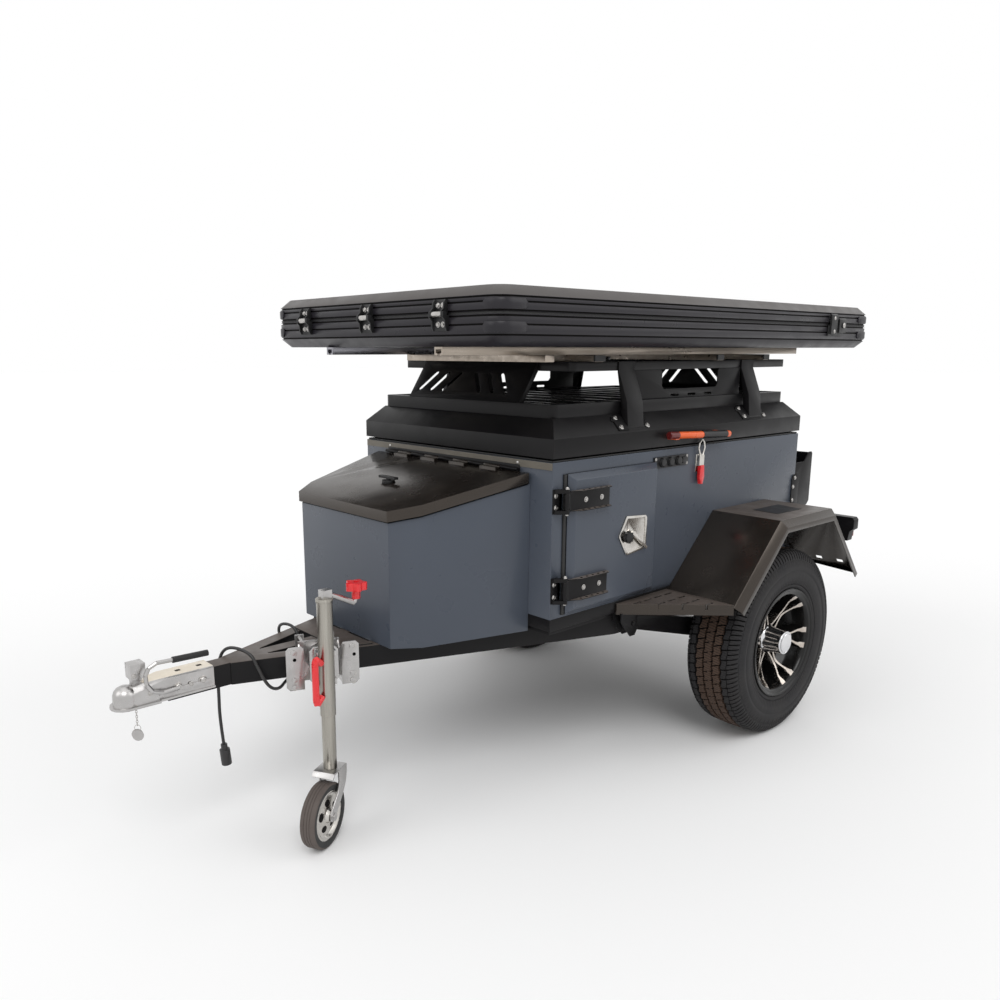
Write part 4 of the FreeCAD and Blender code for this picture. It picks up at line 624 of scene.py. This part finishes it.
def tyre_skin(side):
    """Rows run across the tread and round both walls, columns run round the tyre. Each row gives (across, radius,
    sway, cut, deep): its place across is swayed by a zigzag along the tyre, and its radius is lowered by the cut of
    the long grooves and, where a column lies in a cross groove, by deep, that groove's depth."""
    half = [(0, 367.5, 0, 0, 9), (8, 367.4, 1, 0, 9), (14.6, 367.3, 2, 0, 9), (15.6, 367.3, 2, 9, 9),
            (21.4, 367.2, 2, 9, 9), (22.4, 367.2, 2, 0, 9), (30, 367, 2, 0, 9), (38, 366.8, 2.5, 0, 9),
            (47.8, 366.4, 3, 0, 9), (48.8, 366.4, 3, 9, 9), (56.2, 366.1, 3, 9, 9), (57.2, 366, 3, 0, 9),
            (64, 365.7, 2, 0, 9), (71, 365.2, 1, 0, 8), (76.5, 364.6, 1.5, 0, 8), (77.2, 364.5, 1.5, 4, 8),
            (79.4, 364.2, 1.5, 4, 8), (80.1, 364, 1.5, 0, 8), (87, 361.5, 0, 0, 8), (93, 357, 0, 0, 8),
            (98.5, 349, 0, 0, 7), (103, 339, 0, 0, 6), (105, 333, 0, 0, 5), (106, 330.5, 0, 2.2, 0),
            (108.2, 323, 0, 1.6, 0), (110, 315, 0, 1.4, 0), (112.2, 303, 0, 0, 0), (113, 296, 0, 0, 0),
            (113, 289, 0, 0, 0), (112.9, 286.5, 0, 1.6, 0), (112.8, 284, 0, 1.6, 0), (112.6, 281.5, 0, 0, 0),
            (111.5, 262, 0, 0, 0), (109, 243, 0, 0, 0), (107, 234, 0, 0, 0), (106.6, 231.5, 0, 1.4, 0),
            (105.4, 228, 0, 1.4, 0), (104.6, 225.5, 0, 0, 0), (102, 219, 0, 0, 0), (98, 215.5, 0, 0, 0),
            (95, 204, 0, 0, 0), (40, 203.5, 0, 0, 0)]
    near = np.array(half, float)
    far = near[:0:-1] * (-1, 1, 1, 1, 1)
    rows = np.concatenate([near, [(0, 203.5, 0, 0, 0)], far])
    t = np.array([0.0, 0.045, 0.07, 0.20, 0.33, 0.43, 0.455, 0.5, 0.545, 0.57, 0.70, 0.83, 0.93, 0.955])
    cols = (np.arange(tyre_pitches)[:, None] + t[None, :]).ravel()
    place = np.tile(t, tyre_pitches)
    across, radius, sway, cut, deep = (rows[:, k][None, :] for k in range(5))
    s = np.abs(across)
    u = cols[:, None]
    ease = np.clip((s - 50) / 8, 0, 1)
    lean = 0.010 * across * (1 - ease) + ease * (0.006 * across + np.sign(across) * 0.228)
    y = across + np.sign(across) * sway * zigzag(u + (s > 40) * 0.25)
    in_a = (place[:, None] <= 0.0451) | (place[:, None] >= 0.954)
    in_b = (place[:, None] >= 0.454) & (place[:, None] <= 0.546)
    blocks = (s > 22) & (s < 48) & in_a
    notch = (s <= 14.7) & in_b & (s > 7)
    shoulder = (s > 57) & (s < 106) & (in_b | (in_a & (s > 79.5)))
    depth = np.maximum(cut, np.where(blocks | shoulder, deep, 0) + np.where(notch, 3.5, 0))
    serrated = (s > 106.5) & (s < 111.5)
    depth = depth + np.where(serrated, 0.9 * (np.arange(len(cols))[:, None] % 2), 0)
    turn = np.interp(s, [0, 80, 100, 108, 200], [0, 0, 0.75, 1.5, 1.57]) + 0 * u
    r = radius - depth * np.cos(turn)
    y = y - np.sign(across) * depth * np.sin(turn)
    angle = 2 * math.pi * (u + lean * (s < 107)) / tyre_pitches
    x = r / 1000 * np.cos(angle)
    z = r / 1000 * np.sin(angle)
    points = np.stack([wheel_centre[0] + x, side * wheel_centre[1] + y / 1000, wheel_centre[2] + z], -1)
    uv = np.stack([u + lean, across / 100 + 0 * u], -1)
    return points, uv, depth > 3


def rubber_of_tread():
    """Rubber whose dust and slits follow the tread's own map: u counts blocks, v is 0.1 m across. The slits are dark
    lines of painted shade, for cuts not made in the mesh.
    """
    m = finish_of("tyre rubber", (0.0165, 0.016, 0.0175), 0.72, gloss=0.3, bump=0.25, bump_size=380, mottle=0.6,
                  second=(0.030, 0.028, 0.027))
    t = m.node_tree
    p = t.nodes["Principled BSDF"]
    chart = t.nodes.new("ShaderNodeUVMap")
    chart.uv_map = "tread"
    parts = t.nodes.new("ShaderNodeSeparateXYZ")
    t.links.new(chart.outputs["UV"], parts.inputs["Vector"])

    def calc(kind, *values):
        n = t.nodes.new("ShaderNodeMath")
        n.operation = kind
        for socket, value in zip(n.inputs, values):
            if isinstance(value, float):
                socket.default_value = value
            else:
                t.links.new(value, socket)
        return n.outputs[0]

    off = calc("ABSOLUTE", parts.outputs["Y"])
    middle = calc("LESS_THAN", off, 0.53)
    tread = calc("LESS_THAN", off, 1.03)
    slant = calc("MULTIPLY_ADD", parts.outputs["Y"], 1.6, calc("MULTIPLY", parts.outputs["X"], 4.0))
    saw = calc("ABSOLUTE", calc("SUBTRACT", calc("FRACT", slant), 0.5))
    slit_shade = calc("MULTIPLY", calc("LESS_THAN", saw, 0.11), tread)
    clean = p.inputs["Base Color"].links[0].from_socket
    dusty = between(t, clean, (0.080, 0.047, 0.031, 1), calc("MULTIPLY", middle, 0.85))
    t.links.new(between(t, dusty, (0.006, 0.005, 0.005, 1), calc("MULTIPLY", slit_shade, 0.85)), p.inputs["Base Color"])
    return m


tread_rubber = rubber_of_tread()
# Near-black for faces sunk over 3 mm in the tread: painted shade in the grooves.
tread_groove_shade = finish_of("tread groove shade", (0.004, 0.004, 0.004), 0.85, gloss=0.1, mottle=0.5,
                          second=(0.007, 0.006, 0.006))
for side, sign in (("left", 1), ("right", -1)):
    points, uv, sunk = tyre_skin(sign)
    tyre = skin("road_tyre_" + side, points, tread_rubber, side + "_wheel", closed=(True, True), uv=uv,
                second=tread_groove_shade, where=sunk)
    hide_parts("tyre_" + side)

# Rims: gloss black castings with six forked spokes, whose faces are machined bright, round a chromed cap that
# stands out to the plane of the rim.
gloss_black = finish_of("gloss black rim", (0.005, 0.005, 0.005), 0.2, gloss=0.3, bump=0.03, bump_size=120,
                        rough_swing=0.04, mottle=0.3, second=(0.012, 0.011, 0.010))
machined = finish_of("machined face", (0.60, 0.55, 0.50), 0.24, metal=1.0, mottle=0.7, mottle_size=60,
                     second=(0.42, 0.36, 0.31), rough_swing=0.08, bump=0.08, bump_size=900)
chrome = finish_of("chrome cap", (0.72, 0.72, 0.73), 0.07, metal=1.0, mottle=0.5, mottle_size=25,
                   second=(0.60, 0.60, 0.62), rough_swing=0.03)


def rim_skin(side):
    """A torus of rows: over the face from the hub to the lip, round the barrel and back under the face. On the
    face, height is the dish, raised to the spoke's top where the distance to the nearer of its two arms, whose
    middle line is a curve of the radius, is under half the arm's width, and eased down over the next 2.2 mm. The
    share raised by over 0.96 is machined bright."""
    face_r = np.array([40, 46, 52, 60, 68, 76, 84, 92, 100, 106, 112, 118, 124, 130, 136, 142, 148, 154, 160, 165,
                       169, 172, 175, 178, 181, 184, 186, 187.5, 189])
    turn = np.linspace(0, 2 * math.pi, 864, endpoint=False)
    sixth = math.pi / 3
    r = face_r[None, :]
    local = (turn[:, None] + sixth / 2) % sixth - sixth / 2
    s = np.abs(r * np.sin(local))
    along = r * np.cos(local)
    middle = np.interp(along, [40, 60, 85, 105, 120, 135, 150, 163, 172, 190],
                       [17, 15, 9, 6.5, 8, 14, 22, 28, 31, 33])
    half_arm = np.interp(along, [40, 100, 150, 166, 172, 190], [5.6, 5.2, 5.6, 6.6, 11.5, 11.5])
    rise = np.clip(1 - (np.abs(s - middle) - half_arm) / 2.2, 0, 1)
    rise = np.where(along > 187, rise * 0.6, rise)
    top = np.interp(r, [40, 60, 110, 160, 184, 189], [34, 36, 45, 70, 92, 96]) + 0 * turn[:, None]
    dish = np.interp(r, [40, 60, 110, 160, 178, 186, 189], [10, 4, 2, 8, 40, 86, 94]) + 0 * turn[:, None]
    y = dish + (top - dish) * rise
    rr = r + 0 * turn[:, None]
    back = np.array([(193, 99), (198, 101), (203, 101.5), (206, 104), (209, 106.5), (212.5, 107), (215.5, 104.5),
                     (216, 99), (204, 96), (203.8, 40), (203.8, -40), (204, -96), (216, -99), (215.5, -104),
                     (210, -106), (203, -100), (196, -92), (187, -60), (186, -30), (150, -22), (90, -20), (40, -20)],
                    float)
    rr = np.concatenate([rr, np.tile(back[:, 0], (len(turn), 1))], 1)
    y = np.concatenate([y, np.tile(back[:, 1], (len(turn), 1))], 1)
    bright = np.zeros(rr.shape, bool)
    bright[:, :len(face_r)] = (rise > 0.96) & (r < 187)
    angle = turn[:, None] + 0.12
    points = np.stack([wheel_centre[0] + rr / 1000 * np.cos(angle), side * (wheel_centre[1] + y / 1000),
                       wheel_centre[2] + rr / 1000 * np.sin(angle)], -1)
    return points, bright


def cap_skin(side):
    """A profile turned about the axle, its radius swung by eight flutes where the profile's flute share is."""
    rows = np.array([(61, 26, 0), (60, 33, 0), (55, 40, 0.3), (51, 48, 1), (49, 60, 1), (47.5, 75, 1), (46.5, 90, 1),
                     (46, 99, 0.6), (46.5, 102, 0.2), (46.5, 106, 0), (45, 109, 0), (41.5, 110, 0), (40, 108.5, 0),
                     (38, 108.5, 0), (37.5, 112, 0), (35.5, 114, 0), (18, 115.5, 0), (0, 115.8, 0)], float)
    turn = np.linspace(0, 2 * math.pi, 160, endpoint=False)[:, None]
    flute = rows[:, 2][None, :] * 3.4 * (np.abs(np.cos(4 * turn)) - 0.75)
    r = (rows[:, 0][None, :] + flute) / 1000
    y = rows[:, 1][None, :] / 1000 + 0 * turn
    return np.stack([wheel_centre[0] + r * np.cos(turn), side * (wheel_centre[1] + y),
                     wheel_centre[2] + r * np.sin(turn)], -1)


for side, sign in (("left", 1), ("right", -1)):
    points, bright = rim_skin(sign)
    rim = skin("road_rim_" + side, points, gloss_black, side + "_wheel", closed=(True, True),
               second=machined, where=bright)
    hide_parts("wheel_rim_" + side)
    skin("road_cap_" + side, cap_skin(sign), chrome, side + "_wheel")

# Floor, backdrop and light: a pale floor that is white where nothing shades it, a white surround for the camera
# and for gloss, and four wide suns for soft studio light without a fall-off over the floor.
half_floor = 60
ground = bpy.data.meshes.new("floor")
ground.from_pydata([(x * half_floor, y * half_floor, 0) for x, y in ((-1, -1), (1, -1), (1, 1), (-1, 1))], [],
                   [(0, 1, 2, 3)])
floor = bpy.data.objects.new("floor", ground)
bpy.context.scene.collection.objects.link(floor)
pale = bpy.data.materials.new("pale floor")
pale.use_nodes = True
base = pale.node_tree.nodes["Principled BSDF"]
base.inputs["Base Color"].default_value = (0.96, 0.96, 0.96, 1)
base.inputs["Roughness"].default_value = 1.0
base.inputs["Specular IOR Level"].default_value = 0.0
ground.materials.append(pale)

world = bpy.data.worlds.new("studio")
bpy.context.scene.world = world
world.use_nodes = True
t = world.node_tree
sky = t.nodes["Background"]
white = t.nodes.new("ShaderNodeBackground")
for shade, strength in ((sky, 0.56), (white, 1.0)):
    shade.inputs["Color"].default_value = (1, 1, 1, 1)
    shade.inputs["Strength"].default_value = strength
ray = t.nodes.new("ShaderNodeLightPath")
seen = ray.outputs["Is Camera Ray"]
for kind in ("Is Glossy Ray", "Is Transmission Ray"):
    either = t.nodes.new("ShaderNodeMath")
    either.operation = "MAXIMUM"
    t.links.new(seen, either.inputs[0])
    t.links.new(ray.outputs[kind], either.inputs[1])
    seen = either.outputs["Value"]
pick = t.nodes.new("ShaderNodeMixShader")
t.links.new(seen, pick.inputs["Fac"])
t.links.new(sky.outputs["Background"], pick.inputs[1])
t.links.new(white.outputs["Background"], pick.inputs[2])
t.links.new(pick.outputs["Shader"], t.nodes["World Output"].inputs["Surface"])
for name, come_from, wide, power in (
        ("key", (2.0, 3.2, 4.6), 32, 0.95),
        ("side", (-3.5, 3.8, 3.0), 40, 0.35),
        ("front", (4.5, -1.0, 3.4), 40, 0.52),
        ("top", (-0.6, -0.6, 5.0), 60, 0.35)):
    lamp = bpy.data.lights.new(name, "SUN")
    lamp.angle = math.radians(wide)
    lamp.energy = power
    o = bpy.data.objects.new(name, lamp)
    o.rotation_euler = (-Vector(come_from)).to_track_quat("-Z", "Y").to_euler()
    bpy.context.scene.collection.objects.link(o)

bpy.context.scene.view_settings.view_transform = "Standard"
